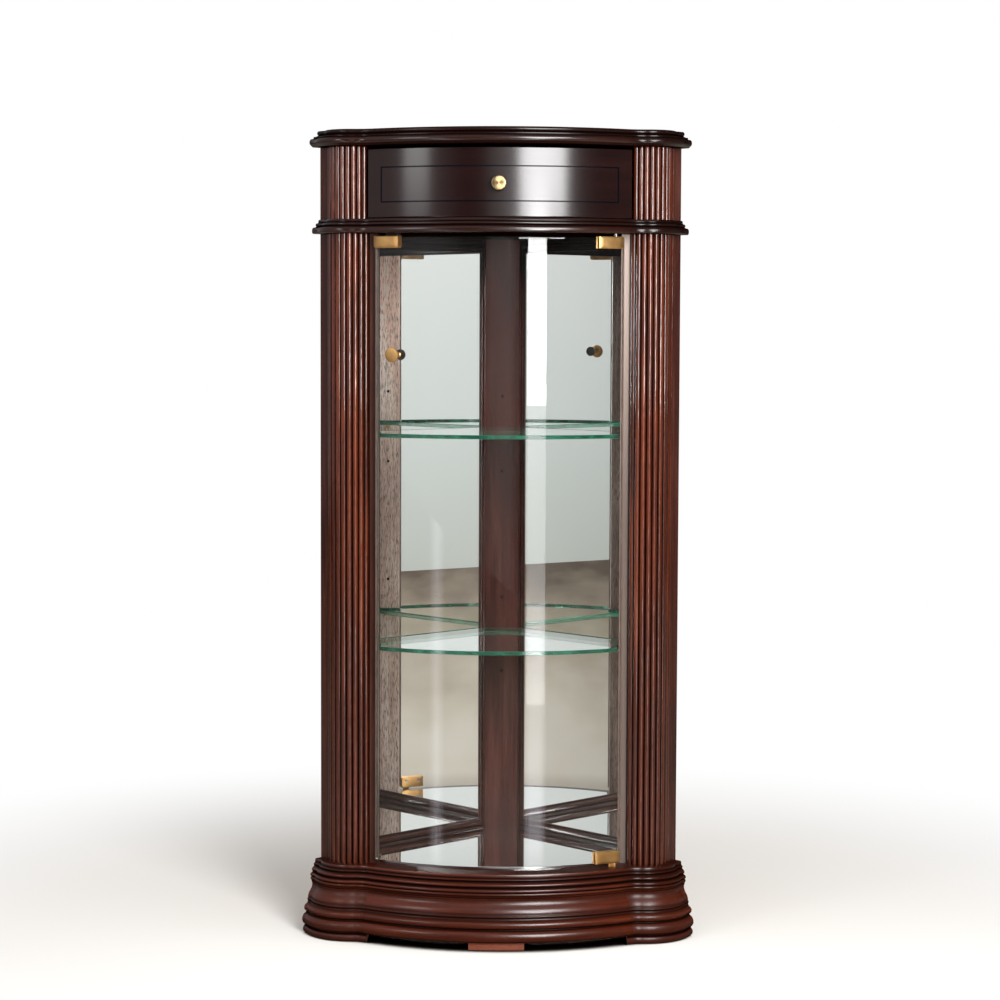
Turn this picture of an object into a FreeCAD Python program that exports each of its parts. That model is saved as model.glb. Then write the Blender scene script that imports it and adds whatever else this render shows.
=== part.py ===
"""Corner curio cabinet: bow-front glass display case with a drawer, for a room corner.

Frame: origin at the bottom centre of the bounding box, +Z up, the front faces -Y.
All dimensions are in millimetres.
"""
import FreeCAD
import Part
import math
import os

V = FreeCAD.Vector
ROOT2 = math.sqrt(2.0)

# Plan ---------------------------------------------------------------------
half_width = 272.0          # case half width at the wall line
bow_radius = 366.0          # case face between the columns
column_setback = 96.0       # column centre behind the front of the bow
column_radius = 37.5        # over the reeds
wall_end_setback = 10.0     # wall end behind the column centre
bow_to_corner = half_width + column_setback + wall_end_setback - bow_radius
column_x = half_width - 49.5
blend_radius = 60.0         # hollow blend between column and bow at the case face
base_overhang = 38.0        # widest plinth moulding beyond the case face
column_ahead = bow_radius - column_setback
depth = bow_to_corner + bow_radius + base_overhang

# Heights ------------------------------------------------------------------
foot_height = 12.5
plinth_height = 64.0
base_thick = 35.0
door_opening = 952.5
waist_thick = 21.5
frieze_height = 108.0
top_thick = 25.0
base_board_bottom = foot_height + plinth_height
base_top = base_board_bottom + base_thick
waist_bottom = base_top + door_opening
waist_top = waist_bottom + waist_thick
top_bottom = waist_top + frieze_height
overall_height = top_bottom + top_thick

# Feet and plinth, in plan -------------------------------------------------
foot_inner_x = column_x - 26.5
foot_back = 62.0            # corner foot runs back past the column centre
foot_wide = 22.0
centre_foot_half = 41.5
centre_foot_ahead = 25.0
rear_foot = 60.0
plinth_inner = 14.0
plinth_back_thick = 18.0
glue_leg = 40.0

# Walls and mirrors --------------------------------------------------------
back_board = 7.3
mirror_thick = 4.0
bead_thick = 2.6
bead_wide = 11.5
rail_bead_wide = 20.0
front_bead_wide = 9.0
return_thick = 11.9
seat_gap = 0.2              # glass and mirror to the wood beside them

# Columns and stiles -------------------------------------------------------
reed_count = 9
reed_depth = 3.6
column_inner_x = column_x - 28.0
block_inner_x = column_x - 25.0
stile_inner_x = column_x - 39.5
stile_outer_x = column_x - 7.5
stile_behind_door = 19.4    # stile front face behind the hollow side of the door glass
stile_deep = 32.0
post_half = 26.5
post_face = 46.0            # post face in front of the back corner

# Door ---------------------------------------------------------------------
glass_thick = 6.0
glass_setback = 4.0         # glass face behind the case face
glass_end_x = column_x - 35.5
glass_under = 8.5           # gap under the glass
glass_over = 6.0            # gap over the glass
axis_x = glass_end_x - 14.0
plate_thick = 3.0
plate_from_x = axis_x - 26.0
plate_to_x = axis_x + 10.5
plate_tall = 18.0
pin_r = 3.0
running_gap = 0.05
socket_r = 6.0
socket_deep = 14.0
adjuster_r = 5.6
knob_r = 10.8
knob_thick = 4.0
knob_stem_r = 3.4
door_knob_x = glass_end_x - 37.0
door_knob_up = 772.0        # above the base board
door_knob_stem = 19.0
catch_from_x = glass_end_x - 38.0

# Shelves ------------------------------------------------------------------
shelf_thick = 6.0
shelf_above_floor = {"upper": 647.0, "lower": 323.6}
shelf_behind_glass = 16.0
shelf_half = stile_inner_x - 3.0
pin_hole_r = 2.5
pin_head_r = 4.0
pin_pitch = 60.0
pin_depth = 12.0
stile_pin_x = stile_inner_x + 18.0

# Drawer -------------------------------------------------------------------
drawer_gap = 1.2            # beside and under the drawer front
drawer_gap_over = 4.7
drawer_front_thick = 18.0
drawer_side_x = block_inner_x - 9.5
drawer_side_thick = 10.0
drawer_wall_gap = 7.0
drawer_bottom_thick = 5.0
runner_tall = 3.0
guide_tall = 24.0
stop_half = 20.0
drawer_back_half = 60.0
drawer_knob_up = 50.0       # above the waist board
drawer_knob_stem = 14.0
inlay_half = block_inner_x - 20.5
inlay_half_tall = 26.7
inlay_wide = 2.2
inlay_deep = 1.0

corner_y = depth / 2.0
bow_y = corner_y - bow_to_corner
column_y = bow_y - column_ahead
wall_length = half_width * ROOT2
post_face_y = corner_y - post_face
glass_outer_r = bow_radius - glass_setback
glass_inner_r = glass_outer_r - glass_thick
glass_bottom = base_top + glass_under
glass_top = waist_bottom - glass_over
door_knob_z = base_top + door_knob_up
drawer_knob_z = waist_top + drawer_knob_up
shelf_radius = glass_inner_r - shelf_behind_glass
stile_face_y = bow_y - math.sqrt(glass_inner_r ** 2 - stile_inner_x ** 2) + stile_behind_door
stile_back_y = stile_face_y + stile_deep
shelf_bottoms = {level: base_top + up for level, up in shelf_above_floor.items()}

os.makedirs("parts", exist_ok=True)


def save(name, shape):
    shape.exportStep("parts/" + name + ".step")


def mirrored(shape):
    return shape.mirror(V(0, 0, 0), V(1, 0, 0))


def save_pair(name, right_shape):
    save(name + "_right", right_shape)
    save(name + "_left", mirrored(right_shape))


def save_both(name, right_shape):
    save(name, Part.makeCompound([right_shape, mirrored(right_shape)]))


def wall_point(s, n, z=0.0):
    """Right wall: s runs out from the back corner, n stands in from the wall."""
    return V((s - n) / ROOT2, corner_y - (s + n) / ROOT2, z)


def prism(points, z0, z1):
    ring = [V(p[0], p[1], z0) for p in points]
    face = Part.Face(Part.makePolygon(ring + ring[:1]))
    return face.extrude(V(0, 0, z1 - z0))


def wall_block(s0, s1, n0, n1, z0, z1):
    corners = [wall_point(s0, n0), wall_point(s1, n0), wall_point(s1, n1), wall_point(s0, n1)]
    return prism(corners, z0, z1)


def box(x0, x1, y0, y1, z0, z1):
    return Part.makeBox(x1 - x0, y1 - y0, z1 - z0, V(x0, y0, z0))


def rod(radius, length, start, direction):
    return Part.makeCylinder(radius, length, start, direction)


def on_bow(radius, x):
    return bow_y - math.sqrt(radius ** 2 - x ** 2)


def sector(r_in, r_out, x0, x1, z0, z1):
    """Piece of a tube round the bow centre, between two plan angles set at r_out."""
    a0 = math.asin(x0 / r_out)
    a1 = math.asin(x1 / r_out)
    mid = (a0 + a1) / 2.0

    def at(r, a):
        return V(r * math.sin(a), bow_y - r * math.cos(a), z0)

    edges = [
        Part.Arc(at(r_out, a0), at(r_out, mid), at(r_out, a1)).toShape(),
        Part.LineSegment(at(r_out, a1), at(r_in, a1)).toShape(),
        Part.Arc(at(r_in, a1), at(r_in, mid), at(r_in, a0)).toShape(),
        Part.LineSegment(at(r_in, a0), at(r_out, a0)).toShape(),
    ]
    return Part.Face(Part.Wire(edges)).extrude(V(0, 0, z1 - z0))


def radial(x_at_glass, radius):
    """Point on the bow at a radius, and the outward direction there."""
    angle = math.asin(x_at_glass / glass_outer_r)
    out = V(math.sin(angle), -math.cos(angle), 0)
    return V(0, bow_y, 0) + out * radius, out


def return_meets_column(offset):
    """Where the flat return, moved out by offset, meets the column circle."""
    radius = column_radius + offset
    start = wall_point(wall_length + offset, 0.0)
    dx = start.x - column_x
    dy = start.y - column_y
    b = -(dx + dy)
    c = dx * dx + dy * dy - radius * radius
    t = (-b - math.sqrt(b * b - 2.0 * c)) / 2.0
    return V(start.x - t, start.y - t, 0)


def blend_centre():
    """Centre of the hollow blend, outside both the bow and the column."""
    r0 = bow_radius + blend_radius
    r1 = column_radius + blend_radius
    gap = math.hypot(column_x, column_ahead)
    along = (gap * gap + r0 * r0 - r1 * r1) / (2.0 * gap)
    across = math.sqrt(r0 * r0 - along * along)
    ux = column_x / gap
    uy = -column_ahead / gap
    return V(along * ux + across * uy, bow_y + along * uy - across * ux, 0)


def toward(start, goal, distance):
    return start + (goal - start).normalize() * distance


def outline(offset, z):
    """Case plan moved out by offset at height z, flush with both walls."""
    corner = V(0, corner_y, 0)
    end = wall_point(wall_length + offset, 0.0)
    turn = return_meets_column(offset)
    bow_centre = V(0, bow_y, 0)
    column_centre = V(column_x, column_y, 0)
    blend = blend_centre()
    radius = column_radius + offset
    leave = toward(column_centre, blend, radius)
    meet = toward(bow_centre, blend, bow_radius + offset)
    blend_mid = toward(blend, (leave + meet) * 0.5, blend_radius - offset)
    a0 = math.atan2(turn.y - column_y, turn.x - column_x)
    a1 = math.atan2(leave.y - column_y, leave.x - column_x)
    mid_angle = (a0 + a1) / 2.0
    column_mid = V(column_x + radius * math.cos(mid_angle), column_y + radius * math.sin(mid_angle), 0)
    front = V(0, bow_y - bow_radius - offset, 0)

    def left(p):
        return V(-p.x, p.y, p.z)

    edges = [
        Part.LineSegment(corner, end).toShape(),
        Part.LineSegment(end, turn).toShape(),
        Part.Arc(turn, column_mid, leave).toShape(),
        Part.Arc(leave, blend_mid, meet).toShape(),
        Part.Arc(meet, front, left(meet)).toShape(),
        Part.Arc(left(meet), left(blend_mid), left(leave)).toShape(),
        Part.Arc(left(leave), left(column_mid), left(turn)).toShape(),
        Part.LineSegment(left(turn), left(end)).toShape(),
        Part.LineSegment(left(end), corner).toShape(),
    ]
    wire = Part.Wire(edges)
    wire.translate(V(0, 0, z))
    return wire


def moulded(profile):
    """Solid case plan whose edge follows (offset, z) pairs from the bottom up."""
    return Part.makeLoft([outline(d, z) for d, z in profile], True, True)


def arc_profile(d0, z0, radius, start, stop, steps, squash=1.0):
    """Points on an arc about (d0, z0); angles in degrees, 0 points outward, 90 up."""
    points = []
    for i in range(steps + 1):
        a = math.radians(start + (stop - start) * i / steps)
        points.append((d0 + squash * radius * math.cos(a), z0 + radius * math.sin(a)))
    return points


def placed(profile, z0, z1):
    """Profile drawn up from zero, moved to z0 and stretched to end at z1."""
    stretch = (z1 - z0) / (profile[-1][1] - profile[0][1])
    return [(d, z0 + (z - profile[0][1]) * stretch) for d, z in profile]


# Moulding profiles, bottom to top: (overhang, height) ------------------------
top_profile = (
    [(14.8, 0.0)]
    + arc_profile(15.6, 5.6, 5.6, -80, 0, 4)
    + arc_profile(14.2, 5.6, 7.0, 8, 78, 5)
    + [(13.6, 12.7), (13.2, 13.4), (13.2, 15.4), (12.2, 15.8), (8.0, 16.4), (5.4, 17.8)]
    + arc_profile(2.8, 21.4, 3.3, -70, 74, 5)
    + [(2.8, 25.0)]
)
waist_profile = (
    [(12.6, 0.0)]
    + arc_profile(13.2, 3.3, 3.3, -80, 0, 4)
    + arc_profile(12.1, 5.4, 4.4, 0, 76, 4)
    + [(10.4, 10.2), (9.0, 10.9)]
    + arc_profile(6.9, 13.6, 2.4, -62, 70, 4)
    + [(5.2, 16.4), (4.2, 17.0), (4.0, 19.8), (3.2, 21.0), (2.8, 21.5)]
)
base_board_profile = (
    [(18.9, 0.0)]
    + arc_profile(18.6, 3.8, 2.7, -62, 66, 4)
    + [(19.3, 6.75)]
    + arc_profile(19.0, 9.3, 2.7, -60, 66, 4)
    + [(18.0, 12.6), (17.4, 13.8)]
    + arc_profile(15.6, 17.0, 3.0, -60, 70, 4)
    + [(15.4, 20.8), (14.2, 23.0), (12.8, 26.0), (11.6, 29.0), (11.0, 31.4), (11.0, 33.2),
       (10.2, 34.6), (9.2, 35.0)]
)
plinth_profile = (
    [(31.0, 0.0), (33.4, 0.7)]
    + arc_profile(28.8, 9.4, 9.2, -56, 76, 8)
    + [(30.2, 19.2), (29.8, 20.4)]
    + arc_profile(28.2, 26.2, 5.7, -60, 72, 6)
    + [(27.4, 32.7), (26.8, 34.0), (26.6, 35.6), (26.6, 38.0), (26.2, 41.0), (25.4, 44.2), (24.0, 47.2),
       (22.2, 49.8), (20.4, 52.2), (18.9, 54.6), (18.0, 57.0), (17.7, 59.4), (17.9, 61.8), (18.7, 64.0)]
)
foot_profile = (
    [(28.0, 0.0), (33.0, 0.6)]
    + arc_profile(30.6, 6.3, 6.0, -58, 60, 4)
    + [(33.4, 12.5)]
)

# Boards -------------------------------------------------------------------
save("top_board", moulded(placed(top_profile, top_bottom, overall_height)))

pin_y = on_bow(glass_outer_r - glass_thick / 2.0, axis_x)
waist_board = moulded(placed(waist_profile, waist_bottom, waist_top))
waist_board = waist_board.cut(rod(socket_r, socket_deep, V(axis_x, pin_y, waist_bottom), V(0, 0, 1)))
save("waist_board", waist_board)

base_board = moulded(placed(base_board_profile, base_board_bottom, base_top))
base_board = base_board.cut(rod(socket_r, socket_deep, V(axis_x, pin_y, base_top - socket_deep), V(0, 0, 1)))
save("base_board", base_board)

# Plinth: a ring of moulding split into a bowed front and two corner lengths ---
plinth_ring = moulded(placed(plinth_profile, foot_height, base_board_bottom))
hollow = Part.Face(outline(-plinth_inner, 0.0)).extrude(V(0, 0, base_top))
plinth_ring = plinth_ring.cut(hollow)
split = blend_centre()
reach = 3.0 * half_width
front_wedge = prism(
    [(0, bow_y), (split.x * 2.0, bow_y + (split.y - bow_y) * 2.0), (0, -reach),
     (-split.x * 2.0, bow_y + (split.y - bow_y) * 2.0)], 0, base_board_bottom)
corner_length = plinth_ring.cut(front_wedge)
right_half = box(0, reach, -reach, reach, 0, base_board_bottom)
save("plinth_front", plinth_ring.common(front_wedge))
save_pair("plinth_corner", corner_length.common(right_half))
plinth_back = wall_block(22.0, wall_length - 46.2, 0.0, plinth_back_thick, foot_height, base_board_bottom)
save_both("plinth_backs", plinth_back)

# Feet ---------------------------------------------------------------------
foot_block = moulded(placed(foot_profile, 0.0, foot_height))
foot_clip = box(foot_inner_x, half_width + base_overhang, bow_y - bow_radius, column_y + foot_back, 0, foot_height)
foot_inner = Part.Face(outline(-foot_wide, 0.0)).extrude(V(0, 0, foot_height))
save_pair("foot_corner", foot_block.common(foot_clip).cut(foot_inner))
save("foot_centre", sector(bow_radius - foot_wide, bow_radius + centre_foot_ahead,
                           -centre_foot_half, centre_foot_half, 0, foot_height))
save("foot_rear", prism(
    [(0, corner_y), (-rear_foot, corner_y - rear_foot), (rear_foot, corner_y - rear_foot)], 0, foot_height))

# Glue blocks in the plinth --------------------------------------------------
glue_at = wall_point(wall_length - 60.0, plinth_back_thick + seat_gap)
glue = prism(
    [(glue_at.x, glue_at.y), (glue_at.x - glue_leg, glue_at.y + glue_leg), (glue_at.x - glue_leg, glue_at.y)],
    foot_height + 4.0, base_board_bottom)
save_both("glue_blocks", glue)


# Columns and frieze blocks --------------------------------------------------
def reeded_section(inner_x, back_points, z0, z1):
    """Reeded front from the flat return round to inner_x, closed by back_points."""
    turn = return_meets_column(0.0)
    a0 = math.atan2(turn.y - column_y, turn.x - column_x)
    a1 = -math.pi + math.acos((column_x - inner_x) / column_radius)
    valley = column_radius - reed_depth

    def at(radius, a):
        return V(column_x + radius * math.cos(a), column_y + radius * math.sin(a), z0)

    step = (a1 - a0) / reed_count
    edges = []
    for i in range(reed_count):
        begin = at(valley, a0 + i * step)
        crest = at(column_radius, a0 + (i + 0.5) * step)
        finish = at(valley, a0 + (i + 1) * step)
        edges.append(Part.Arc(begin, crest, finish).toShape())
    chain = [finish] + [V(p[0], p[1], z0) for p in back_points] + [V(turn.x, turn.y, z0), at(valley, a0)]
    for p, q in zip(chain[:-1], chain[1:]):
        edges.append(Part.LineSegment(p, q).toShape())
    return Part.Face(Part.Wire(edges)).extrude(V(0, 0, z1 - z0))


board_end = wall_length - return_thick
mirror_face = back_board + mirror_thick
bead_n = mirror_face + bead_thick
return_depth = (return_meets_column(0.0) - wall_point(wall_length, 0.0)).Length
return_corner = wall_point(board_end, return_depth)
bead_corner = wall_point(board_end, bead_n)
column_end_x = bead_corner.x - (stile_back_y - bead_corner.y)
block_back = [
    (block_inner_x, stile_back_y), (column_end_x, stile_back_y),
    (bead_corner.x, bead_corner.y), (return_corner.x, return_corner.y)]
column_back = [(column_inner_x, stile_face_y), (stile_outer_x, stile_face_y),
               (stile_outer_x, stile_back_y)] + block_back[1:]
save_pair("column", reeded_section(column_inner_x, column_back, base_top, waist_bottom))
save_pair("frieze_block", reeded_section(block_inner_x, block_back, waist_top, top_bottom))

save_pair("return", wall_block(wall_length - return_thick, wall_length, 0, return_depth, base_top, waist_bottom))
save_both("frieze_returns",
          wall_block(wall_length - return_thick, wall_length, 0, return_depth, waist_top, top_bottom))

# Stiles with shelf pin holes --------------------------------------------------
hole_heights = []
for bottom in shelf_bottoms.values():
    middle = bottom - pin_head_r
    hole_heights += [middle - pin_pitch, middle, middle + pin_pitch]
stile = box(stile_inner_x, stile_outer_x, stile_face_y, stile_back_y, base_top, waist_bottom)
for z in hole_heights:
    stile = stile.cut(rod(pin_hole_r, pin_depth, V(stile_pin_x, stile_back_y - pin_depth, z), V(0, 1, 0)))
save_pair("stile", stile)
stop_front = on_bow(glass_outer_r - glass_thick, stile_inner_x) + 5.2
save("door_stop", box(-column_inner_x, -stile_inner_x, stop_front, stile_face_y, base_top, waist_bottom))

# Centre post ----------------------------------------------------------------
post_reach = corner_y - back_board * ROOT2
flank = (post_reach - post_half - post_face_y) / 2.0
post = prism(
    [(-post_half, post_face_y), (post_half, post_face_y),
     (post_half + flank, post_face_y + flank), (0, post_reach),
     (-post_half - flank, post_face_y + flank)], base_top, waist_bottom)
for z in hole_heights:
    post = post.cut(rod(pin_hole_r, pin_depth, V(0, post_face_y, z), V(0, 1, 0)))
save("centre_post", post)

# Back boards, mirrors and beads ---------------------------------------------
save("back_board_right", wall_block(0, board_end, 0, back_board, base_top, waist_bottom))
save("back_board_left", mirrored(wall_block(back_board, board_end, 0, back_board, base_top, waist_bottom)))
save("frieze_back_right", wall_block(0, board_end, 0, back_board, waist_top, top_bottom))
save("frieze_back_left", mirrored(wall_block(back_board, board_end, 0, back_board, waist_top, top_bottom)))

post_s = (post_half + flank - (post_face_y + flank) + corner_y) / ROOT2
mirror_s0 = post_s + seat_gap
mirror_s1 = board_end - seat_gap
save_pair("mirror", wall_block(mirror_s0, mirror_s1, back_board, mirror_face,
                               base_top + seat_gap, waist_bottom - seat_gap))

inner_s0 = mirror_s0 + bead_wide
inner_s1 = mirror_s1 - front_bead_wide
beads = [
    wall_block(mirror_s0, inner_s0, mirror_face, bead_n, base_top, waist_bottom),
    wall_block(inner_s1, mirror_s1, mirror_face, bead_n, base_top, waist_bottom),
    wall_block(inner_s0, inner_s1, mirror_face, bead_n, waist_bottom - rail_bead_wide, waist_bottom),
    wall_block(inner_s0, inner_s1, mirror_face, bead_n, base_top, base_top + rail_bead_wide)]
save_pair("mirror_beads", Part.makeCompound(beads))

# Shelves and floor mirror ----------------------------------------------------
shelf_n = bead_n + 1.0
shelf_sum = corner_y - shelf_n * ROOT2
shelf_corner_y = stile_back_y + 2.0
shelf_back_y = post_face_y - 1.5


def shelf(z0, z1):
    def at(x, y):
        return V(x, y, z0)

    front_y = on_bow(shelf_radius, shelf_half)
    right = [at(shelf_half, front_y), at(shelf_half, shelf_corner_y),
             at(shelf_sum - shelf_corner_y, shelf_corner_y), at(shelf_sum - shelf_back_y, shelf_back_y)]
    left = [V(-p.x, p.y, p.z) for p in reversed(right)]
    chain = right + left
    edges = [Part.LineSegment(p, q).toShape() for p, q in zip(chain[:-1], chain[1:])]
    edges.append(Part.Arc(left[-1], at(0, bow_y - shelf_radius), right[0]).toShape())
    return Part.Face(Part.Wire(edges)).extrude(V(0, 0, z1 - z0))


for level, bottom in shelf_bottoms.items():
    save("shelf_" + level, shelf(bottom, bottom + shelf_thick))
    z = bottom - pin_head_r
    head = 9.0
    plug = pin_hole_r - running_gap
    back_start = V(0, post_face_y - head, z)
    pins = [rod(pin_head_r, head, back_start, V(0, 1, 0)).fuse(
        rod(plug, pin_depth - 1.0, V(0, post_face_y, z), V(0, 1, 0)))]
    for x in (-stile_pin_x, stile_pin_x):
        pins.append(rod(pin_head_r, head, V(x, stile_back_y, z), V(0, 1, 0)).fuse(
            rod(plug, pin_depth - 1.0, V(x, stile_back_y - pin_depth + 1.0, z), V(0, 1, 0))))
    save("shelf_pins_" + level, Part.makeCompound(pins))
save("floor_mirror", shelf(base_top, base_top + mirror_thick))

# Door -----------------------------------------------------------------------
glass = sector(glass_inner_r, glass_outer_r, -glass_end_x, glass_end_x, glass_bottom, glass_top)
knob_at, knob_out = radial(-door_knob_x, glass_inner_r)
knob_hole_r = 3.2
washer_gap = 0.1            # flat washer on the hollow side of the bent glass
glass = glass.cut(rod(knob_hole_r, glass_thick + 2.0, knob_at - knob_out + V(0, 0, door_knob_z), knob_out))
save("door_glass", glass)


def edge_clip(x0, x1, z_edge, up):
    """Brass channel over the glass edge at z_edge; up is +1 at the top and -1 at the bottom."""
    low = min(z_edge - up * (plate_tall - 2.0), z_edge + up * 2.0)
    outer = sector(glass_inner_r - plate_thick, glass_outer_r + plate_thick, x0, x1, low, low + plate_tall)
    slot = sector(glass_inner_r, glass_outer_r, -glass_end_x, glass_end_x,
                  min(z_edge, z_edge - up * plate_tall), max(z_edge, z_edge - up * plate_tall))
    return outer.cut(slot)


save("hinge_plate_top", edge_clip(plate_from_x, plate_to_x, glass_top, 1))
save("hinge_plate_bottom", edge_clip(plate_from_x, plate_to_x, glass_bottom, -1))
save("catch_plate", edge_clip(-glass_end_x + 0.5, -catch_from_x, glass_top, 1))

pin_top = rod(pin_r, 11.0, V(axis_x, pin_y, glass_top + 2.0), V(0, 0, 1))
pin_bottom_start = base_top - 9.0
pin_bottom = rod(pin_r, glass_bottom - 2.0 - pin_bottom_start, V(axis_x, pin_y, pin_bottom_start), V(0, 0, 1))
save("pivot_pins", Part.makeCompound([pin_top, pin_bottom]))
bush_r = pin_r + running_gap


def socket(z0, z1):
    return rod(socket_r, z1 - z0, V(axis_x, pin_y, z0), V(0, 0, 1)).cut(
        rod(bush_r, z1 - z0, V(axis_x, pin_y, z0), V(0, 0, 1)))


save("pivot_sockets", Part.makeCompound([
    socket(waist_bottom, waist_bottom + socket_deep), socket(base_top - socket_deep, base_top)]))
adjuster_bottom = base_top + 0.2
adjuster = rod(adjuster_r, glass_bottom - 2.2 - adjuster_bottom, V(axis_x, pin_y, adjuster_bottom), V(0, 0, 1))
adjuster = adjuster.cut(rod(bush_r, 10.0, V(axis_x, pin_y, adjuster_bottom - 1.0), V(0, 0, 1)))
save("knurled_adjuster", adjuster)

knob_up = V(0, 0, door_knob_z)
stem_at, knob_out = radial(-door_knob_x, glass_outer_r)
stem = rod(knob_stem_r, door_knob_stem, stem_at + knob_up, knob_out)
disc = rod(knob_r, knob_thick, stem_at + knob_out * door_knob_stem + knob_up, knob_out)
save("door_knob", stem.fuse(disc))
washer_at, knob_out = radial(-door_knob_x, glass_inner_r - washer_gap)
washer = rod(8.0, 2.0, washer_at + knob_up, knob_out * -1)
screw_shank = rod(knob_hole_r - 0.2, glass_thick, washer_at + knob_up, knob_out)
save("door_knob_screw", washer.fuse(screw_shank))

screws = []
for z_edge, up in ((glass_top, 1), (glass_bottom, -1)):
    for x in (plate_from_x + 7.0, plate_to_x - 7.0):
        at, out = radial(x, glass_inner_r - plate_thick - running_gap)
        screws.append(rod(2.6, 1.6, at + V(0, 0, z_edge - up * 9.0), out * -1))
save("hinge_screws", Part.makeCompound(screws))
catch_x = -(catch_from_x + 12.0)
save("magnet_catch", sector(glass_inner_r - 14.0, glass_inner_r - plate_thick - 0.4, catch_x - 9.0, catch_x + 9.0,
                            waist_bottom - 16.0, waist_bottom))

# Drawer -----------------------------------------------------------------------
front_half = block_inner_x - drawer_gap
front_low = waist_top + drawer_gap
front_high = top_bottom - drawer_gap_over
front_r = bow_radius
front_in = front_r - drawer_front_thick
front_clip = box(-front_half, front_half, -reach, bow_y, front_low, front_high)
drawer_front = sector(front_in, front_r, -front_half - 16.0, front_half + 16.0, front_low, front_high)
drawer_front = drawer_front.common(front_clip)
band_in = front_r - inlay_deep
inlay = sector(band_in, front_r, -inlay_half, inlay_half,
               drawer_knob_z - inlay_half_tall, drawer_knob_z + inlay_half_tall)
inlay = inlay.cut(sector(band_in - 2.0, front_r + 2.0, -inlay_half + inlay_wide, inlay_half - inlay_wide,
                         drawer_knob_z - inlay_half_tall + inlay_wide,
                         drawer_knob_z + inlay_half_tall - inlay_wide))
screw_r = 2.2
drawer_front = drawer_front.cut(inlay)
drawer_front = drawer_front.cut(
    rod(screw_r, drawer_front_thick + 4.0, V(0, bow_y - front_r - 2.0, drawer_knob_z), V(0, 1, 0)))
save("drawer_front", drawer_front)
save("string_inlay", inlay)
knob_y = bow_y - front_r
drawer_stem = rod(knob_stem_r, drawer_knob_stem, V(0, knob_y, drawer_knob_z), V(0, -1, 0))
drawer_disc = rod(knob_r, knob_thick, V(0, knob_y - drawer_knob_stem, drawer_knob_z), V(0, -1, 0))
save("drawer_knob", drawer_stem.fuse(drawer_disc))
knob_screw = rod(screw_r - 0.1, drawer_front_thick, V(0, knob_y, drawer_knob_z), V(0, 1, 0))
head_y = knob_y + drawer_front_thick + washer_gap
knob_screw = knob_screw.fuse(rod(screw_r - 0.1, 1.0, V(0, head_y - 0.5, drawer_knob_z), V(0, 1, 0)))
knob_screw = knob_screw.fuse(rod(4.5, 2.0, V(0, head_y, drawer_knob_z), V(0, 1, 0)))
save("drawer_knob_screw", knob_screw)

box_low = waist_top + runner_tall + 0.4
box_high = front_high - 10.0
wall_sum = corner_y - (back_board + drawer_wall_gap) * ROOT2
side_end_y = wall_sum - drawer_side_x
side_start_y = on_bow(front_in, drawer_side_x)
inner_side = drawer_side_x - drawer_side_thick
cant_back_y = wall_sum - drawer_back_half
cant_thick = drawer_side_thick * ROOT2
side = prism(
    [(inner_side, on_bow(front_in, inner_side)), (drawer_side_x, on_bow(front_in, drawer_side_x)),
     (drawer_side_x, side_end_y), (inner_side, side_end_y - cant_thick + drawer_side_thick)],
    box_low, box_high)
side = side.cut(sector(front_in, front_r, -front_half - 16.0, front_half + 16.0, front_low, front_high))
save_pair("drawer_side", side)
cant = prism(
    [(inner_side, side_end_y - cant_thick + drawer_side_thick), (drawer_side_x, side_end_y),
     (drawer_back_half, cant_back_y), (drawer_back_half, cant_back_y - cant_thick)],
    box_low, box_high)
save_pair("drawer_cant", cant)
save("drawer_back", box(-drawer_back_half, drawer_back_half, cant_back_y - 10.0, cant_back_y, box_low, box_high))
inset = 0.3
plate_side = inner_side - inset
plate_turn_y = side_end_y - cant_thick + drawer_side_thick - inset
plate_back_y = cant_back_y - cant_thick - inset
floor_points = [
    (plate_side, on_bow(front_in, plate_side) + inset), (plate_side, plate_turn_y),
    (drawer_back_half - inset, plate_back_y), (-drawer_back_half + inset, plate_back_y),
    (-plate_side, plate_turn_y), (-plate_side, on_bow(front_in, plate_side) + inset)]
floor_plate = prism(floor_points, box_low + 2.0, box_low + 2.0 + drawer_bottom_thick)
front_fill = sector(front_in / 2.0, front_in - inset, -plate_side, plate_side, box_low + 2.0,
                    box_low + 2.0 + drawer_bottom_thick)
save("drawer_bottom", floor_plate.fuse(front_fill.common(
    box(-plate_side, plate_side, -reach, floor_points[0][1] + 1.0, 0, overall_height))).removeSplitter())

runner_out = drawer_side_x
runner = box(inner_side - 6.0, runner_out, side_start_y + 2.0, side_end_y - 2.0,
             waist_top, waist_top + runner_tall)
save_both("drawer_runners", runner)
guide = box(drawer_side_x + 0.8, drawer_side_x + 8.0, stile_back_y + 1.0, side_end_y - 16.0,
            waist_top, waist_top + guide_tall)
save_both("drawer_guides", guide)
save("drawer_stop", box(-stop_half, stop_half, cant_back_y + 0.6, cant_back_y + 12.0, waist_top, waist_top + 20.0))
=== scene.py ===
"""Looks of the corner curio cabinet, built as a small add-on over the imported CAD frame.

Lengths are in metres in the row's frame: +Z up, the door and drawer face -Y, the back corner points to +Y.
"""
import math
from functools import partial

import bpy
import numpy as np
from mathutils import Matrix, Vector


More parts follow.
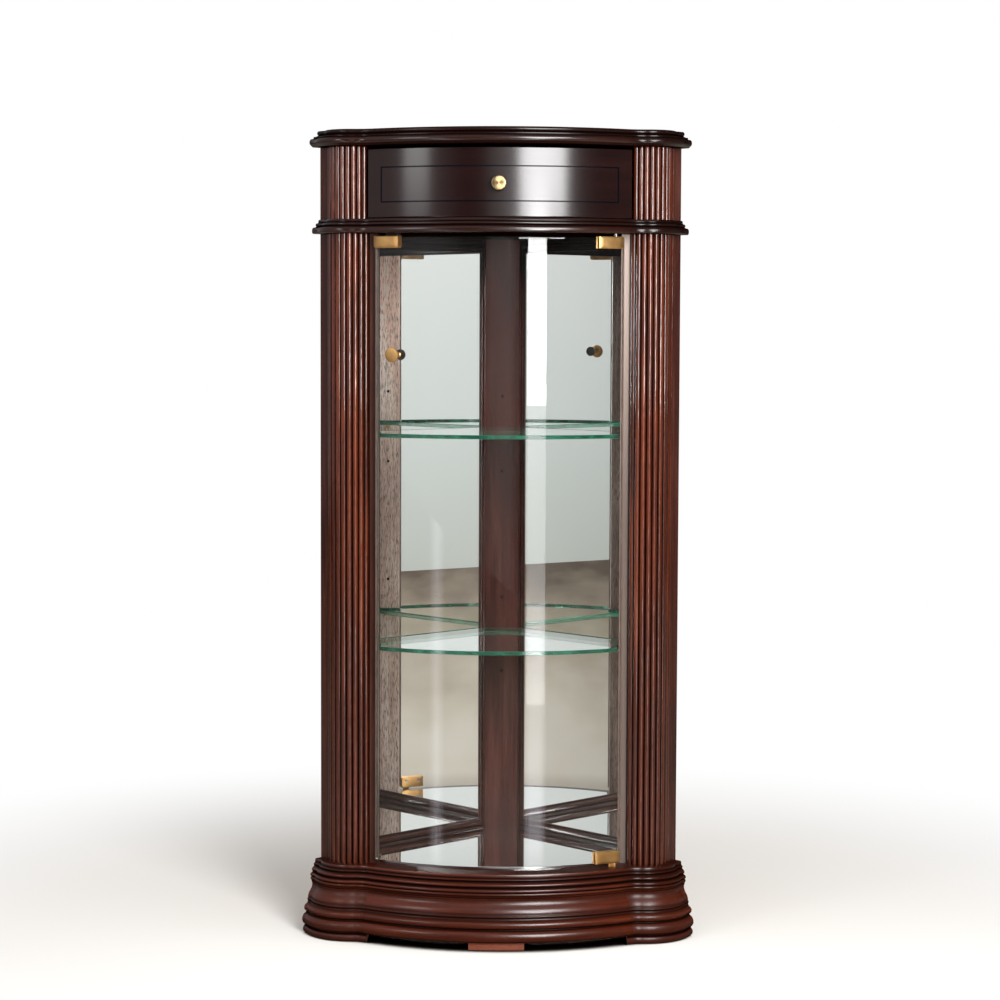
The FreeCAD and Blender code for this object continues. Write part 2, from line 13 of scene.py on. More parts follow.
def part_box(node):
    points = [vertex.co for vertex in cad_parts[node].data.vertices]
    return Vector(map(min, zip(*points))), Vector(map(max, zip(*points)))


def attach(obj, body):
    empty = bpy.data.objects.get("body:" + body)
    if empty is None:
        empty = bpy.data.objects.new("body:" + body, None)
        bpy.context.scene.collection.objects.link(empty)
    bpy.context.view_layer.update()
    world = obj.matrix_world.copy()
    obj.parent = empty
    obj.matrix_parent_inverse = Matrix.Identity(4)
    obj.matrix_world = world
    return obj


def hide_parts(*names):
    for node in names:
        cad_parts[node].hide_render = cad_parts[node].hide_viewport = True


bl_info = {
    "name": "Corner curio cabinet",
    "version": (1, 0, 0),
    "blender": (4, 5, 0),
    "location": "3D View > Sidebar > Cabinet",
    "description": "Builds the visible pieces, finishes and stage of a bow-front corner curio cabinet",
    "category": "Add Mesh",
}

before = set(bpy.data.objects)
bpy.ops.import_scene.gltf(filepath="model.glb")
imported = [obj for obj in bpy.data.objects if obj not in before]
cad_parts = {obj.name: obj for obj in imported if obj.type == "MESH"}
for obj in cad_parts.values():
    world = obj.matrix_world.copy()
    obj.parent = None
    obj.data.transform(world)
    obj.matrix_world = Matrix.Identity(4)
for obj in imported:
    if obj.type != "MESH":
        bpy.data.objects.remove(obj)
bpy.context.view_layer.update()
MM = 0.001
ROOT2 = math.sqrt(2.0)

# Plan, as in the CAD model (mm) -----------------------------------------------
half_width = 272.0
bow_radius = 366.0
column_setback = 96.0
column_radius = 37.5
wall_end_setback = 10.0
bow_to_corner = half_width + column_setback + wall_end_setback - bow_radius
column_x = half_width - 49.5
blend_radius = 60.0
base_overhang = 38.0
corner_y = (bow_to_corner + bow_radius + base_overhang) / 2.0
bow_y = corner_y - bow_to_corner
column_y = bow_y - bow_radius + column_setback
wall_length = half_width * ROOT2

# Heights (mm) -----------------------------------------------------------------
foot_height = 12.5
base_board_bottom = 76.5
base_top = 111.5
waist_bottom = 1064.0
waist_top = 1085.5
top_bottom = 1193.5

# Pieces (mm) ------------------------------------------------------------------
reed_count = 9
column_inner_x = column_x - 28.0
block_inner_x = column_x - 25.0
stile_outer_x = column_x - 7.5
stile_pin_x = column_x - 21.5
pin_pitch = 60.0
pin_below_shelf = 4.0
stile_inner_x = column_x - 39.5
back_board = 7.3
mirror_thick = 4.0
bead_thick = 2.6
bead_tall = 20.0
bead_wide_at_post = 11.5
bead_wide_at_column = 9.0
return_thick = 11.9
post_half = 26.5
post_face_y = corner_y - 46.0
glass_outer_r = 362.0
glass_inner_r = 356.0
stile_behind_glass = 19.4
stile_thick = 32.0
stile_face_y = bow_y - math.sqrt(glass_inner_r ** 2 - stile_inner_x ** 2) + stile_behind_glass
stile_back_y = stile_face_y + stile_thick
glass_bottom = 120.0
glass_top = 1058.0
glass_end_x = 187.0
axis_x = 173.0
plate_thick = 3.0
plate_from_x = axis_x - 26.0
plate_to_x = axis_x + 10.5
plate_tall = 18.0
plate_over_edge = 2.0
catch_from_x = 149.0
knob_thick = 4.0
knob_stem_r = 3.4
door_knob_stem = 19.0
drawer_knob_stem = 14.0
door_knob_x = 150.0
door_knob_z = 883.5
drawer_knob_z = 1135.5
drawer_front_thick = 18.0
drawer_gap = 1.2
drawer_gap_over = 4.7
inlay_half = 177.0
inlay_half_tall = 26.7
shelf_bottoms = {"upper": 758.5, "lower": 435.1}
shelf_thick = 6.0
shelf_half = 180.0
shelf_radius = 340.0
adjuster_r = 5.6
adjuster_bore_r = 3.2
plinth_back = 14.0
foot_back = 22.0
foot_centre_half = 41.5
foot_inner_x = column_x - 26.5


# Plan geometry ------------------------------------------------------------------
def wall_point(s, n):
    """Right wall: s runs out from the back corner, n stands in from the wall."""
    return np.array([(s - n) / ROOT2, corner_y - (s + n) / ROOT2])


def return_meets_column(offset):
    """Where the 45 degree return, moved out by offset, crosses the column circle."""
    radius = column_radius + offset
    start = wall_point(wall_length + offset, 0.0)
    d = start - (column_x, column_y)
    b = -(d[0] + d[1])
    t = (-b - math.sqrt(b * b - 2.0 * (d @ d - radius * radius))) / 2.0
    return start - t


def blend_centre():
    """Centre of the hollow curve: it lies one blend radius outside both the bow and the column."""
    r0 = bow_radius + blend_radius
    r1 = column_radius + blend_radius
    ahead = bow_y - column_y
    gap = math.hypot(column_x, ahead)
    along = (gap * gap + r0 * r0 - r1 * r1) / (2.0 * gap)
    across = math.sqrt(r0 * r0 - along * along)
    return np.array([(along * column_x - across * ahead) / gap, bow_y - (along * ahead + across * column_x) / gap])


def arc(centre, radius, start, stop, count):
    """Points at equal turns on a circle; start and stop are angles in radians."""
    a = np.linspace(start, stop, count)
    return np.stack([centre[0] + radius * np.cos(a), centre[1] + radius * np.sin(a)], 1)


def right_path(offset, turns=(30, 22, 44)):
    """Case edge moved out by offset, from the wall's end round the column and hollow to the middle of the bow."""
    end = wall_point(wall_length + offset, 0.0)
    turn = return_meets_column(offset)
    column = np.array([column_x, column_y])
    bow = np.array([0.0, bow_y])
    blend = blend_centre()

    def angle(origin, goal):
        return math.atan2(goal[1] - origin[1], goal[0] - origin[0])

    leave = angle(column, blend)
    meet = angle(bow, blend)
    b0 = angle(blend, column)
    b1 = b0 + (angle(blend, bow) - b0 + math.pi) % (2.0 * math.pi) - math.pi
    return [
        end[None], arc(column, column_radius + offset, angle(column, turn), leave, turns[0]),
        arc(blend, blend_radius - offset, b0, b1, turns[1])[1:],
        arc(bow, bow_radius + offset, meet, -math.pi / 2.0, turns[2])[1:]]


def case_loop(offset):
    """Whole case plan moved out by offset, closed through the back corner and flush with both walls."""
    right = np.concatenate(right_path(offset))
    left = right[-2::-1] * (-1.0, 1.0)
    return np.concatenate([[(0.0, corner_y)], right, left])


def at_heights(loops, heights):
    """Stack plan loops at their heights into rows of 3-D points."""
    loops = np.asarray(loops, float)
    z = np.broadcast_to(np.asarray(heights, float)[:, None, None], loops.shape[:2] + (1,))
    return np.concatenate([loops, z], 2)


def inset(loop, amount):
    """Closed plan loop, counter-clockwise, moved in along the mitre of its two edges at each point."""
    before = loop - np.roll(loop, 1, 0)
    after = np.roll(loop, -1, 0) - loop
    n0 = np.stack([-before[:, 1], before[:, 0]], 1) / np.linalg.norm(before, axis=1)[:, None]
    n1 = np.stack([-after[:, 1], after[:, 0]], 1) / np.linalg.norm(after, axis=1)[:, None]
    mitre = n0 + n1
    return loop + amount * 2.0 * mitre / np.maximum((mitre ** 2).sum(1), 0.5)[:, None]


def on_bow(radius, x, z):
    """Points on a cylinder round the bow centre; x is the distance across, not the turn."""
    x = np.asarray(x, float)
    return np.stack([x, bow_y - np.sqrt(radius ** 2 - x ** 2), np.broadcast_to(z, x.shape)], -1)


def wrapped(radius, along, z):
    """Points on a cylinder round the bow centre; along is arc length at the glass face."""
    a = np.asarray(along, float) / glass_outer_r
    return np.stack([radius * np.sin(a), bow_y - radius * np.cos(a), np.broadcast_to(z, a.shape)], -1)


# Moulding profiles, bottom to top: (overhang, height) in mm -----------------------
def arc_profile(d0, z0, radius, start, stop, steps):
    """Arc about (d0, z0); angles in degrees, 0 points outward and 90 up."""
    return [tuple(p) for p in arc((d0, z0), radius, math.radians(start), math.radians(stop), steps + 1)]


top_profile = (
    [(14.8, 0.0), (15.8, 0.6)] + arc_profile(15.8, 7.2, 5.4, -72, 74, 22)
    + [(14.2, 12.8), (13.2, 13.4), (13.2, 15.4), (12.2, 15.8), (8.0, 16.4), (5.4, 17.8)]
    + arc_profile(2.8, 21.4, 3.3, -70, 74, 12) + [(2.8, 25.0)])
waist_profile = (
    [(12.6, 0.0)] + arc_profile(13.2, 3.3, 3.3, -80, 0, 8) + arc_profile(12.1, 5.4, 4.4, 0, 76, 10)
    + [(10.4, 10.2), (9.0, 10.9)] + arc_profile(6.9, 13.6, 2.4, -62, 70, 10)
    + [(5.2, 16.4), (4.2, 17.0), (4.0, 19.8), (3.2, 21.0), (2.8, 21.5)])
base_board_profile = (
    [(18.9, 0.0), (19.4, 2.2)] + arc_profile(18.6, 5.9, 2.7, -58, 66, 10) + [(19.2, 8.9)]
    + arc_profile(18.9, 11.4, 2.7, -58, 66, 10) + [(18.0, 14.7), (17.3, 15.8)]
    + arc_profile(15.6, 19.0, 3.0, -58, 68, 10)
    + [(15.4, 22.8), (14.4, 23.8), (14.2, 24.8)] + arc_profile(13.5, 26.6, 1.4, -62, 66, 6)
    + [(13.0, 28.6), (12.1, 29.6), (11.9, 31.0), (11.8, 33.2), (11.0, 34.6), (9.8, 35.0)])
plinth_profile = (
    [(31.0, 0.0), (33.4, 0.7)] + arc_profile(28.8, 9.4, 9.2, -56, 76, 24) + [(30.2, 19.2), (29.8, 20.4)]
    + arc_profile(28.2, 26.2, 5.7, -60, 72, 16) + [(27.8, 33.0), (26.9, 34.6), (26.7, 36.2)]
    + arc_profile(26.1, 38.4, 1.7, -60, 62, 6)
    + [(26.4, 40.6), (26.2, 41.4), (26.3, 42.4), (25.9, 44.6), (24.8, 47.4), (23.0, 50.2), (21.1, 52.6),
       (19.4, 55.0), (18.3, 57.4), (17.8, 59.8), (17.9, 61.8), (18.7, 64.0)])
foot_profile = [(28.0, 0.0), (33.0, 0.6)] + arc_profile(30.6, 6.3, 6.0, -58, 60, 12) + [(33.4, 12.5)]


def recess(profile, reach=2.6):
    """How deep each profile point sits in a groove, used as painted shade: 1 where the edge turns in, fading over
    reach mm.
    """
    p = np.array(profile)
    step = np.diff(p, axis=0)
    run = np.concatenate([[0.0], np.cumsum(np.linalg.norm(step, axis=1))])
    turn = step[:-1, 0] * step[1:, 1] - step[:-1, 1] * step[1:, 0]
    sharp = turn / (np.linalg.norm(step[:-1], axis=1) * np.linalg.norm(step[1:], axis=1) + 1e-9)
    inward = np.concatenate([[0.0], np.where(sharp < -0.25, -sharp, 0.0), [0.0]])
    fade = np.clip(1.3 - np.abs(run[:, None] - run[None, :]) / reach, 0.0, 1.0)
    return np.clip((fade * np.minimum(inward * 1.6, 1.0)[None, :]).max(1), 0.0, 1.0)


# Mesh building -------------------------------------------------------------------
def solid(name, rows, closed_rows=False, fans=False, dark=0.0, rim=0.0, along=False, angle=32.0):
    """One closed skin over rows of points (row, point, xyz in mm). Each row is a ring, and neighbouring
    rows are joined by quads; the ends are closed by one flat face, or by fans round their middles. The
    grain runs round the rings, or along the rows; dark is the mask of painted shade and thinned lacquer,
    and rim the mask of glass rims, for the finish."""
    rows = np.asarray(rows, float)
    m, n = rows.shape[:2]
    verts = rows.reshape(-1, 3)
    i = np.arange(m if closed_rows else m - 1)[:, None]
    j = np.arange(n)[None, :]
    i1, j1 = (i + 1) % m, (j + 1) % n
    faces = np.stack([i * n + j, i * n + j1, i1 * n + j1, i1 * n + j], -1).reshape(-1, 4).tolist()
    ring, run = ring_lengths(rows)
    u = np.stack([ring[j], ring[j + 1], ring[j + 1], ring[j]], -1)
    v = np.stack([run[i], run[i], run[i + 1], run[i + 1]], -1)
    uvs = [np.stack(np.broadcast_arrays(u, v), -1).reshape(-1, 2)]
    masks = {"dark": np.broadcast_to(dark, (m, n)).ravel(), "rim": np.broadcast_to(rim, (m, n)).ravel()}
    for row, turn in () if closed_rows else ((0, -1), (m - 1, 1)):
        ids = np.arange(row * n, row * n + n)[::turn]
        flat = flat_uv(rows[row])[::turn]
        if fans:
            faces += np.stack([ids, np.roll(ids, -1), np.full(n, len(verts))], 1).tolist()
            verts = np.concatenate([verts, verts[ids].mean(0)[None]])
            middle = np.broadcast_to(flat.mean(0), flat.shape)
            uvs.append(np.stack([flat, np.roll(flat, -1, 0), middle], 1).reshape(-1, 2))
            masks = {key: np.append(mask, mask[ids].mean()) for key, mask in masks.items()}
        else:
            faces.append(ids.tolist())
            uvs.append(flat)
    uvs = np.concatenate(uvs)
    return finish_mesh(name, verts, faces, uvs[:, ::-1] if along else uvs, masks, angle)


def ring_lengths(rows):
    """Running lengths round the middle ring and along the longest column of points."""
    middle = rows[rows.shape[0] // 2]
    around = np.linalg.norm(np.diff(np.concatenate([middle, middle[:1]]), axis=0), axis=1)
    along = np.linalg.norm(np.diff(np.concatenate([rows, rows[:1]]), axis=0), axis=2).max(1)
    return np.concatenate([[0.0], np.cumsum(around)]), np.concatenate([[0.0], np.cumsum(along)])


def flat_uv(points):
    """Plan coordinates of a cap in its own plane: the two directions in which it is widest."""
    return points[:, np.sort(np.argsort(np.ptp(points, axis=0))[1:])]


def finish_mesh(name, verts, faces, uvs, masks, angle):
    """Make the mesh object, with faces outward, smooth shading and edges sharper than the angle kept. A
    negative volume, summed over tetrahedra from the origin, means that the faces point inwards."""
    mesh = bpy.data.meshes.new(name)
    mesh.from_pydata((verts * MM).tolist(), [], faces)
    mesh.uv_layers.new(name="grain").data.foreach_set("uv", (uvs * MM).ravel())
    for key, values in masks.items():
        mesh.attributes.new(key, "FLOAT", "POINT").data.foreach_set("value", values.astype(np.float32))
    mesh.validate()
    mesh.calc_loop_triangles()
    tri = np.empty(len(mesh.loop_triangles) * 3, int)
    mesh.loop_triangles.foreach_get("vertices", tri)
    a, b, c = verts[tri.reshape(-1, 3).T]
    if (a * np.cross(b, c)).sum() < 0.0:
        mesh.flip_normals()
    mesh.shade_smooth()
    mesh.set_sharp_from_angle(angle=math.radians(angle))
    return linked(name, mesh)


def linked(name, mesh):
    """Object at the origin for a mesh, in the scene."""
    obj = bpy.data.objects.new(name, mesh)
    bpy.context.scene.collection.objects.link(obj)
    return obj


def joined(name, parts):
    """Several loose closed skins as one piece."""
    with bpy.context.temp_override(active_object=parts[0], selected_editable_objects=parts):
        bpy.ops.object.join()
    parts[0].name = name
    return parts[0]


def place(obj, body, slot, finish, *nodes):
    """Give a piece its finish, its moving body and the CAD nodes that it stands for."""
    obj.data.materials.clear()
    obj.data.materials.append(finishes()[finish])
    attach(obj, body)
    if nodes:
        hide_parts(*nodes)


def place_pair(right, name, finish, node_name):
    """Place a mahogany piece on the right of the case, and the same piece mirrored on the left."""
    mesh = right.data.copy()
    mesh.transform(Matrix.Scale(-1.0, 4, (1.0, 0.0, 0.0)))
    mesh.flip_normals()
    mesh.name = name + "_left"
    left = linked(name + "_left", mesh)
    place(right, "case", "mahogany", finish, node_name + "_right")
    place(left, "case", "mahogany", finish, node_name + "_left")


def lathe(name, profile, origin, axis, steps=64, flute=None):
    """Turned piece: (radius, distance along the axis) pairs, swung round the axis. A flute is (depth at
    each pair, count round the ring). Both ends close on the axis."""
    axis = np.asarray(axis, float)
    side = np.cross(axis, (0.0, 0.0, 1.0) if abs(axis[2]) < 0.9 else (1.0, 0.0, 0.0))
    side /= np.linalg.norm(side)
    other = np.cross(axis, side)
    a = np.linspace(0.0, 2.0 * np.pi, steps, endpoint=False)
    profile = np.array(profile)
    radius = profile[:, 0, None] * np.ones(steps)
    if flute is not None:
        radius = radius - np.asarray(flute[0])[:, None] * (0.5 - 0.5 * np.cos(a * flute[1]))
    rows = (np.asarray(origin, float) + profile[:, 1, None, None] * axis
            + radius[..., None] * (np.cos(a)[:, None] * side + np.sin(a)[:, None] * other))
    return solid(name, rows, fans=True, angle=40.0)


# Materials -------------------------------------------------------------------------
def linear(colour):
    """sRGB hex code to the linear colour that nodes expect; a setting's colour is linear already."""
    if not isinstance(colour, str):
        return (*colour, 1.0)
    c = np.array([int(colour[k:k + 2], 16) for k in (1, 3, 5)]) / 255.0
    return (*np.where(c <= 0.04045, c / 12.92, ((c + 0.055) / 1.055) ** 2.4).tolist(), 1.0)


def node(tree, kind, inputs=None, stops=(), **settings):
    """Add one shader node. An input is a number or vector, a hex colour, a node whose first live output
    feeds it, or a (node, output) pair. Stops are the (position, colour) pairs of a colour ramp."""
    made = tree.nodes.new("ShaderNode" + kind)
    for key, value in settings.items():
        setattr(made, key, value)
    for position, colour in stops[1:-1]:
        made.color_ramp.elements.new(position).color = linear(colour)
    for end in (0, -1) if stops else ():
        element = made.color_ramp.elements[end]
        element.position, element.color = stops[end][0], linear(stops[end][1])
    for key, value in (inputs or {}).items():
        if isinstance(value, bpy.types.Node):
            value = value, next(k for k, output in enumerate(value.outputs) if output.enabled)
        if isinstance(value, tuple) and isinstance(value[0], bpy.types.Node):
            tree.links.new(value[0].outputs[value[1]], made.inputs[key])
        else:
            made.inputs[key].default_value = linear(value) if isinstance(value, str) else value
    return made


def blank(name):
    """Start a material with an empty node tree. Returns the means to add nodes to it and its Object
    coordinates."""
    material = bpy.data.materials.new(name)
    material.use_nodes = True
    material.node_tree.nodes.clear()
    add = partial(node, material.node_tree)
    return add, (add("TexCoord"), "Object")


def wood(name, run, tones, pores, rough, coat, pore_and_shade_colour="#0b0403", film=0.0, light_by_height=None, front=None, coarse=1.0):
    """Sawn or veneered wood. Broad tone bands and narrow ribbon stripes follow the grain, which runs along
    an axis or, for a strip, along the piece's own lengths. Open pores are short dark dashes about 0.3 mm
    wide times coarse, filled with the pore colour. The same colour is painted shade where the mesh's dark
    mask is set, in grooves, hollows, undersides and dimmed faces. There it darkens the wood and thins the
    lacquer, until only that colour shows, matt. The coat is the lacquer (strength, roughness), and film is
    how far it undulates. Light by height is painted light and shade: it scales tone and shine with height
    (factor below, factor above, lower height, upper height). Front is the colour of the side that looks forward."""
    add, own = blank(name)
    if run == "strip":
        grain = add("UVMap", uv_map="grain")
    else:
        grain = add("Mapping", {"Vector": own, "Rotation": (0.0, math.pi / 2.0 if run == "z" else 0.0, 0.0)})
    noise = {}
    for layer, along, across, more in (
            ("band", 3.0, 34.0, {"Detail": 4.0, "Distortion": 0.8}),
            ("ribbon", 9.0, 260.0, {"Detail": 6.0, "Roughness": 0.62}),
            ("pore", 70.0 * coarse ** 0.4, 2600.0 / coarse, {"Detail": 2.0}),
            ("flow", 14.0, 120.0, {"Detail": 3.0})):
        drawn_out = add("Mapping", {"Vector": grain, "Scale": (along, across, across)})
        noise[layer] = add("TexNoise", {"Vector": drawn_out, "Scale": 1.0, **more})
    tone = add("Mix", {"Factor": 0.42, "A": noise["band"], "B": noise["ribbon"]})
    colour = add("ValToRGB", {"Fac": tone}, list(zip((0.34, 0.5, 0.66), tones)))
    dash = add("MapRange", {"Value": noise["pore"], "From Min": 0.3 + 0.04 * coarse,
                            "From Max": 0.4 + 0.04 * coarse, "To Min": pores, "To Max": 0.0})
    # The dark mask is painted shade: it mixes the wood towards the pore colour and thins the lacquer in grooves,
    # hollows, undersides and dimmed faces.
    groove = add("Attribute", attribute_name="dark"), "Fac"
    for share in (dash, groove):
        colour = add("Mix", {"Factor": share, "A": colour, "B": pore_and_shade_colour}, data_type="RGBA")
    lacquer = add("Math", {0: groove, 1: -coat[0], 2: coat[0]}, operation="MULTIPLY_ADD")
    # Faces whose normal points forward (-Y) take the front colour.
    if front:
        facing = add("SeparateXYZ", {"Vector": (add("NewGeometry"), "Normal")}), "Y"
        forward_facing = add("Math", {0: facing, 1: -0.5}, operation="LESS_THAN")
        colour = add("Mix", {"Factor": forward_facing, "A": colour, "B": front}, data_type="RGBA")
    # Painted light and shade by height: colour and lacquer are scaled from the factor below to the factor above,
    # between two heights.
    if light_by_height:
        height = add("SeparateXYZ", {"Vector": own}), "Z"
        limits = dict(zip(("To Min", "To Max", "From Min", "From Max"), light_by_height))
        sun = add("MapRange", {"Value": height, **limits}, interpolation_type="SMOOTHSTEP")
        colour = add("Mix", {"Factor": 1.0, "A": colour, "B": sun}, data_type="RGBA", blend_type="MULTIPLY")
        lacquer = add("Math", {0: lacquer, 1: sun}, operation="MULTIPLY")
    relief = add("Bump", {"Height": noise["pore"], "Strength": 0.16 * pores, "Distance": 0.0003})
    skin = add("Bump", {"Height": noise["flow"], "Strength": film, "Distance": 0.0006})
    polished = add("BsdfPrincipled", {
        "Base Color": colour, "Roughness": rough, "Specular IOR Level": 0.03, "Normal": relief,
        "Coat Weight": lacquer, "Coat Roughness": coat[1], "Coat Normal": skin})
    # Where the painted shade passes 0.7, the surface turns to the matt pore colour.
    buried = add("MapRange", {"Value": groove, "From Min": 0.7})
    add("OutputMaterial", {"Surface": add("MixShader", {
        0: buried, 1: polished, 2: add("BsdfDiffuse", {"Color": pore_and_shade_colour})})})


def brass(name, tones, marked, turned):
    """Lacquered satin brass: a yellow metal with a slightly uneven film and fine rubbing marks, whose
    strength is marked. Turned stretches the highlight across the rings that a lathe leaves."""
    add, own = blank(name)
    cloud = add("TexNoise", {"Vector": own, "Scale": 60.0, "Detail": 3.0})
    rubbed = add("Mapping", {"Vector": own, "Scale": (2600.0, 2600.0, 90.0)})
    marks = add("TexNoise", {"Vector": rubbed, "Scale": 1.0})
    add("OutputMaterial", {"Surface": add("BsdfPrincipled", {
        "Base Color": add("ValToRGB", {"Fac": cloud}, list(zip((0.3, 0.7), tones))),
        "Metallic": 1.0, "Anisotropic": turned, "Tangent": add("Tangent", direction_type="UV_MAP"),
        "Roughness": add("MapRange", {"Value": cloud, "To Min": 0.34, "To Max": 0.42}),
        "Normal": add("Bump", {"Height": marks, "Strength": marked, "Distance": 0.00002})})})


def steel():
    """Zinc-plated steel of pins, sockets and screws: grey, with a mottled plating."""
    add, own = blank("plated_steel")
    cloud = add("TexNoise", {"Vector": own, "Scale": 420.0, "Detail": 3.0})
    add("OutputMaterial", {"Surface": add("BsdfPrincipled", {
        "Base Color": add("ValToRGB", {"Fac": cloud}, [(0.3, "#8f9193"), (0.7, "#bcbec0")]),
        "Metallic": 1.0, "Roughness": add("MapRange", {"Value": cloud, "To Min": 0.28, "To Max": 0.46})})})


def catch_plastic():
    """Dark moulded plastic of the magnet catch, with a fine spark-eroded grain."""
    add, own = blank("catch_plastic")
    speckle = add("TexNoise", {"Vector": own, "Scale": 2400.0, "Detail": 1.0})
    add("OutputMaterial", {"Surface": add("BsdfPrincipled", {
        "Base Color": add("ValToRGB", {"Fac": speckle}, [(0.3, "#1b1613"), (0.7, "#2b231e")]),
        "Roughness": 0.52, "Normal": add("Bump", {"Height": speckle, "Strength": 0.3, "Distance": 0.00005})})})


def clear_glass(name, face_tint, rim_tones, arris_tone, index, rim_rough):
    """Float glass. The faces let light straight through and mirror a little by angle, once along a ray;
    the rim, where light has run the length of the sheet, is deeper in colour, with pale arrises."""
    add, own = blank(name)
    dust = add("TexNoise", {"Vector": own, "Scale": 9.0, "Detail": 5.0})
    film = add("MapRange", {"Value": dust, "From Min": 0.35, "From Max": 0.75, "To Max": 0.004})
    body = add("MixShader", {0: film, 1: add("BsdfTransparent", {"Color": face_tint}),
                             2: add("BsdfDiffuse", {"Color": "#dfe6e2"})})
    first = add("Math", {0: (add("LightPath"), "Glossy Depth"), 1: 0.5}, operation="LESS_THAN")
    share = add("Math", {0: add("Fresnel", {"IOR": index}), 1: first}, operation="MULTIPLY")
    shine = add("BsdfGlossy", {"Color": "#ffffff", "Roughness": 0.0})
    face = add("MixShader", {0: share, 1: body, 2: shine})
    streak = add("TexNoise", {"Vector": own, "Scale": 60.0})
    rim_colour = add("ValToRGB", {"Fac": streak}, list(zip((0.3, 0.7), rim_tones)))
    facing = add("SeparateXYZ", {"Vector": (add("NewGeometry"), "Normal")}), "Z"
    level = add("Math", {0: facing}, operation="ABSOLUTE")
    arris = add("Math", {0: level, 1: 0.35}, operation="GREATER_THAN")
    rim_colour = add("Mix", {"Factor": arris, "A": rim_colour, "B": arris_tone}, data_type="RGBA")
    rim = add("BsdfPrincipled", {"Base Color": rim_colour, "Roughness": rim_rough, "IOR": 1.5,
                                 "Transmission Weight": 0.45 - rim_rough})
    mask = add("Attribute", attribute_name="rim"), "Fac"
    add("OutputMaterial", {"Surface": add("MixShader", {0: mask, 1: face, 2: rim})})


def mirror():
    """Silvered 4 mm mirror: almost all light comes back, a little greener, with a trace of surface dust."""
    add, own = blank("silvered_mirror")
    dust = add("TexNoise", {"Vector": own, "Scale": 7.0, "Detail": 6.0})
    film = add("MapRange", {"Value": dust, "From Min": 0.4, "From Max": 0.8, "To Max": 0.02})
    add("OutputMaterial", {"Surface": add("MixShader", {
        0: film, 1: add("BsdfGlossy", {"Color": "#fbfcfb", "Roughness": 0.0}),
        2: add("BsdfDiffuse", {"Color": "#d8dad6"})})})


def finishes():
    """All finishes by name, made once."""
    if "mahogany_board" not in bpy.data.materials:
        tint = bpy.context.scene.cabinet_colours
        plinth = "#300f05", tint.plinth, "#511f0d"
        # The top and waist boards get darker tones than the plinth and reeds of the same mahogany: painted shade on
        # the boards.
        wood("mahogany_board", "strip", ("#170806", tint.boards, "#280f0a"), 0.3, 0.36, (0.9, 0.19), film=0.03)
        wood("mahogany_plinth", "strip", plinth, 0.4, 0.36, (0.8, 0.25), film=0.03)
        wood("mahogany_corner", "strip", plinth, 0.4, 0.36, (0.7, 0.37), film=0.03)
        # The reeds are painted darker low down and lighter high up, for light falling from above: painted light and
        # shade by height.
        wood("mahogany_reed", "strip", ("#2d0f05", tint.reeds, "#672e17"), 0.9, 0.36, (1.0, 0.07), film=0.9,
             light_by_height=(0.76, 1.14, 0.1, 1.2))
        wood("mahogany_veneer", "strip", ("#110403", tint.drawer, "#1b0806"), 0.06, 0.40, (1.0, 0.17))
        wood("mahogany_z", "z", ("#240e0a", "#351812", "#482820"), 0.6, 0.38, (0.5, 0.14))
        # Above about 1 m the bead is painted almost black and its lacquer is taken away: painted shade under the
        # head of the case.
        wood("mahogany_bead", "strip", ("#1f0d08", "#2e150e", "#43201a"), 0.3, 0.36, (0.95, 0.12),
             light_by_height=(1.0, 0.12, 0.96, 1.03))
        # The two stiles are one wood, painted as a lit copy on the right (pale, and lighter still higher up) and a
        # shaded copy on the left: painted light and shade.
        wood("mahogany_open", "z", ("#c3a094", "#dfc2b4", "#f7e7dd"), 0.8, 0.55, (0.3, 0.25), "#4a3027",
             light_by_height=(0.76, 2.3, 0.6, 1.1), front="#6d5f58", coarse=2.1)
        wood("mahogany_shade", "z", ("#57463f", "#75625a", "#917d73"), 0.7, 0.5, (0.3, 0.2), "#2e1710",
             front="#2a1712", coarse=2.1)
        wood("mahogany_bare", "strip", ("#61301f", "#7a4332", "#8c5644"), 0.6, 0.55, (0.15, 0.3), "#2e1710")
        # Near-black wood for the cups in the pin holes: painted shade inside the holes.
        wood("pin_hole_shade", "z", ("#050302", "#070403", "#0a0504"), 0.4, 0.9, (0.0, 0.5), "#030202")
        wood("backing_ply", "z", ("#7a5a3f", "#96714f", "#a98460"), 0.35, 0.62, (0.0, 0.3), "#3b2617")
        wood("drawer_poplar", "x", ("#9a7a56", "#b08f68", "#c2a37c"), 0.25, 0.5, (0.15, 0.3), "#5a4028")
        wood("ebony_line", "strip", ("#030306", "#05050a", "#08080e"), 0.3, 0.3, (0.15, 0.22), "#020203")
        brass("satin_brass", ("#bd9058", tint.brass), 0.2, 0.0)
        brass("turned_brass", ("#84714f", "#a58d67"), 0.4, 0.85)
        steel()
        catch_plastic()
        # The door glass's rim is given the brown of the wood that its edge shows: a painted reflection.
        clear_glass("door_glass_clear", "#fefefe", ("#5d4a40", "#6e5b50"), "#c9d6ca", 1.25, 0.35)
        clear_glass("shelf_glass_clear", "#fcfefd", ("#0f4634", tint.shelf_edge), "#2d705a", 1.62, 0.1)
        mirror()
    return bpy.data.materials


